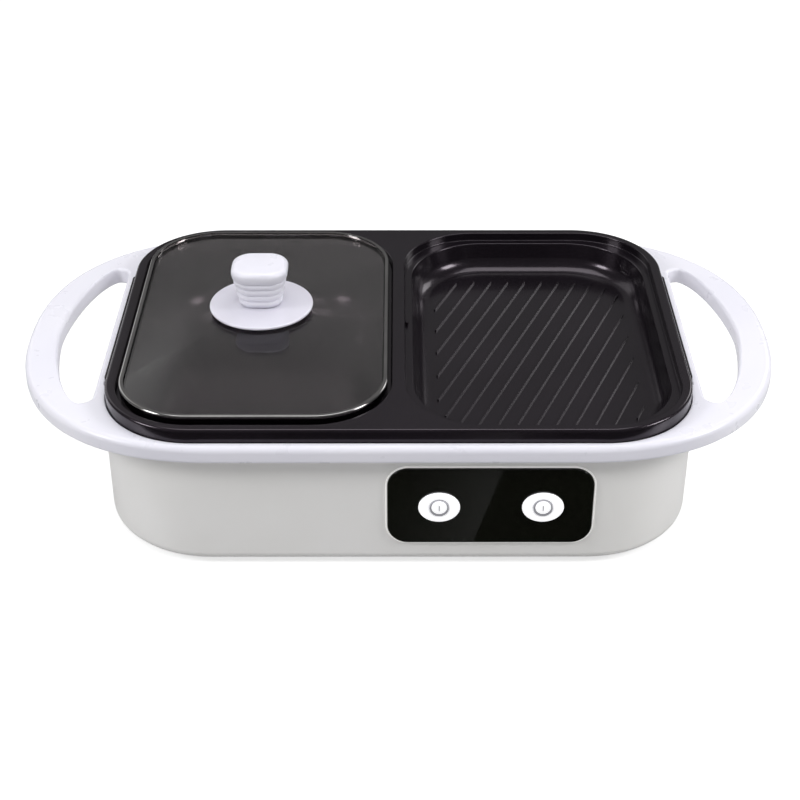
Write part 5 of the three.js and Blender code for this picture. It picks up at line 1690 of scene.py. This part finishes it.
@dataclass
class Studio:
    """A pale floor, soft lamps, a white surround and the camera at the photograph's angle."""

    camera_at: Triple = (0.0, -1.017, 0.698)
    tilt_deg: float = 32.69
    yaw_deg: float = -0.06
    focal_px: float = 1622.0
    frame_px: float = 800.0
    sensor: float = 36.0
    far: float = 50.0
    ambient: float = 0.25
    mirrored: float = 0.12
    floor_half: float = 1.6
    floor_tone: Tone = (196, 196, 196)
    floor_glow: float = 0.68
    front_card: tuple[Triple, Triple] = ((-0.6, -1.2, 0.0005), (0.6, -0.155, 0.001))
    window_slant: float = 0.30
    window_edge: float = 0.002
    window_width: float = 0.100
    window_sill: float = 0.985
    window_clear: float = 0.62
    card_tone: float = 0.02
    rear_card: tuple[Triple, Triple] = ((-2.4, 1.6, 0.15), (3.6, 1.61, 2.3))
    rear_range: Pair = (0.05, 0.23)
    rear_up: Pair = (0.55, 0.95)
    patch: float = 0.60
    patch_across: Pair = (-0.52, -0.80)
    patch_up: Pair = (0.80, 1.12)
    rear_far: float = 1.0
    far_across: Pair = (-0.88, -0.98)
    aim: Triple = (0.0, 0.0, 0.1)
    lamps: tuple[SoftBox, ...] = (
        SoftBox("top_box", (0.0, 0.3, 1.7), (1.3, 0.9), 10.2),
        SoftBox("front_box", (0.0, -0.95, 1.55), (1.3, 0.5), 6.0, mirrored=False),
        SoftBox("left_box", (-1.3, -0.6, 0.98), (0.5, 0.5), 10.2),
        SoftBox("right_box", (1.3, -0.42, 0.92), (0.5, 0.5), 10.6),
        SoftBox("right_back_box", (1.0, 1.1, 0.85), (0.5, 0.5), 2.6),
    )

    def surround_share(self, wiring: Wiring) -> Socket:
        """1 for the rays that look at the surround, a share for the glossy ones and 0 for all others.

        Args:
            wiring: The node tree.

        Returns:
            The share.
        """
        rays = wiring.add("LightPath", {}).outputs
        looking = wiring.calc("MAXIMUM", rays["Is Camera Ray"], rays["Is Transmission Ray"])
        return wiring.calc("MAXIMUM", looking, wiring.calc("MULTIPLY", rays["Is Glossy Ray"], self.mirrored))

    def world(self) -> None:
        """Sets the even surround light, white where it is looked at."""
        world = bpy.data.worlds.new("studio_surround")
        bpy.context.scene.world = world
        world.use_nodes = True
        wiring = Wiring(world.node_tree)
        glossy = wiring.add("LightPath", {}).outputs["Is Glossy Ray"]
        even = wiring.calc("MULTIPLY_ADD", glossy, -self.ambient, self.ambient)
        strength = wiring.calc("MAXIMUM", even, self.surround_share(wiring))
        wiring.plug(wiring.nodes["Background"], {"Color": WHITE, "Strength": strength})

    def floor(self) -> None:
        """Lays the pale floor, which keeps a soft shadow."""
        Blank.clear_bench()
        bpy.ops.mesh.primitive_plane_add(size=2 * self.floor_half, location=ORIGIN)
        plane = bpy.context.object
        plane.name = "studio_floor"
        recipe = Recipe("studio_floor")
        glow = recipe.calc("MULTIPLY", self.surround_share(recipe), self.floor_glow)
        recipe.feed(Base_Color=colour(*self.floor_tone), Roughness=0.9, Specular_IOR_Level=0.0,
                    Emission_Color=WHITE, Emission_Strength=glow)
        plane.data.materials.append(recipe.material)

    def card(self, name: str, corners: tuple[Triple, Triple]) -> Recipe:
        """Stands a studio card that only reflections see.

        Args:
            name: Name of the card.
            corners: Its lowest and its highest corner.

        Returns:
            The card's material, still without a surface.
        """
        card = Blank.box(name, *corners).obj
        recipe = Recipe(name)
        recipe.nodes.remove(recipe.shader)
        card.data.materials.append(recipe.material)
        card.visible_camera = False
        card.visible_diffuse = False
        card.visible_transmission = False
        card.visible_shadow = False
        return recipe

    def front_flag(self) -> None:
        """Lays a black card before the cooker, with a soft window left of a slanted edge."""
        card = self.card("front_card", self.front_card)
        place = card.add("SeparateXYZ", {"Vector": card.place}).outputs
        slanted = card.calc("MULTIPLY_ADD", place["Y"], self.window_slant, place["X"])
        span = (self.window_edge - self.window_width, self.window_edge)
        clear = (*(self.window_clear,) * 3, 1.0)
        stops = ((0.0, BLACK), (self.window_sill, clear), (1.0, BLACK))
        window = card.ramp(card.spread(slanted, 0.0, 1.0, span), *stops)
        black = card.add("Emission", {"Color": (*(self.card_tone,) * 3, 1.0)})
        card.see_through(window, black.outputs["Emission"])

    def rear_flag(self) -> None:
        """Stands a grey card behind the cooker, brighter upwards, with a patch and a pale end on its left."""
        card = self.card("rear_card", self.rear_card)
        place = card.add("SeparateXYZ", {"Vector": card.place}).outputs
        across = card.spread(place["X"], 0.0, 1.0, self.patch_across, soft=True)
        up = card.spread(place["Z"], 0.0, 1.0, self.patch_up, soft=True)
        grey = card.spread(place["Z"], *self.rear_range, self.rear_up)
        grey = card.calc("MULTIPLY_ADD", card.calc("MULTIPLY", across, up), self.patch, grey)
        grey = card.calc("MAXIMUM", grey, card.spread(place["X"], 0.0, self.rear_far, self.far_across))
        card.surface(card.add("Emission", {"Strength": grey}).outputs["Emission"])

    def hang(self, box: SoftBox) -> None:
        """Hangs a lamp that looks at the cooker.

        Args:
            box: The lamp.
        """
        data = bpy.data.lights.new(box.name, "AREA")
        data.shape = "RECTANGLE"
        data.size, data.size_y = box.size
        data.energy = box.power
        lamp = bpy.data.objects.new(box.name, data)
        lamp.location = box.at
        lamp.visible_glossy = box.mirrored
        lamp.rotation_euler = (Vector(self.aim) - Vector(box.at)).to_track_quat("-Z", "Y").to_euler()
        bpy.context.scene.collection.objects.link(lamp)

    def camera(self) -> None:
        """Sets the camera up."""
        data = bpy.data.cameras.new("camera")
        data.sensor_width = self.sensor
        data.lens = self.focal_px / self.frame_px * self.sensor
        data.clip_end = self.far
        camera = bpy.data.objects.new("camera", data)
        camera.location = self.camera_at
        camera.rotation_euler = (math.radians(90 - self.tilt_deg), 0.0, math.radians(self.yaw_deg))
        bpy.context.scene.collection.objects.link(camera)
        bpy.context.scene.camera = camera

    def dress(self, _shop: Paintshop) -> None:
        """Sets up the whole studio, which takes nothing from the paint shop."""
        bpy.context.scene.view_settings.view_transform = "Standard"
        self.world()
        self.floor()
        self.front_flag()
        self.rear_flag()
        for box in self.lamps:
            self.hang(box)
        self.camera()


def main() -> None:
    """Builds the studio and the sub-assemblies in order, and reports each piece."""
    logging.basicConfig(level=logging.INFO, format="%(name)s: %(message)s")
    shop = Paintshop()
    stages = (Studio(), PlainNodes(), LowerHousing(), HandleFrame(), PanPlate(), ControlPanel(),
              ReturnSprings(), Lid())
    for stage in stages:
        stage.dress(shop)
        LOG.info("%s done", type(stage).__name__)
    Blank.clear_bench()


if __name__ == "__main__":
    main()
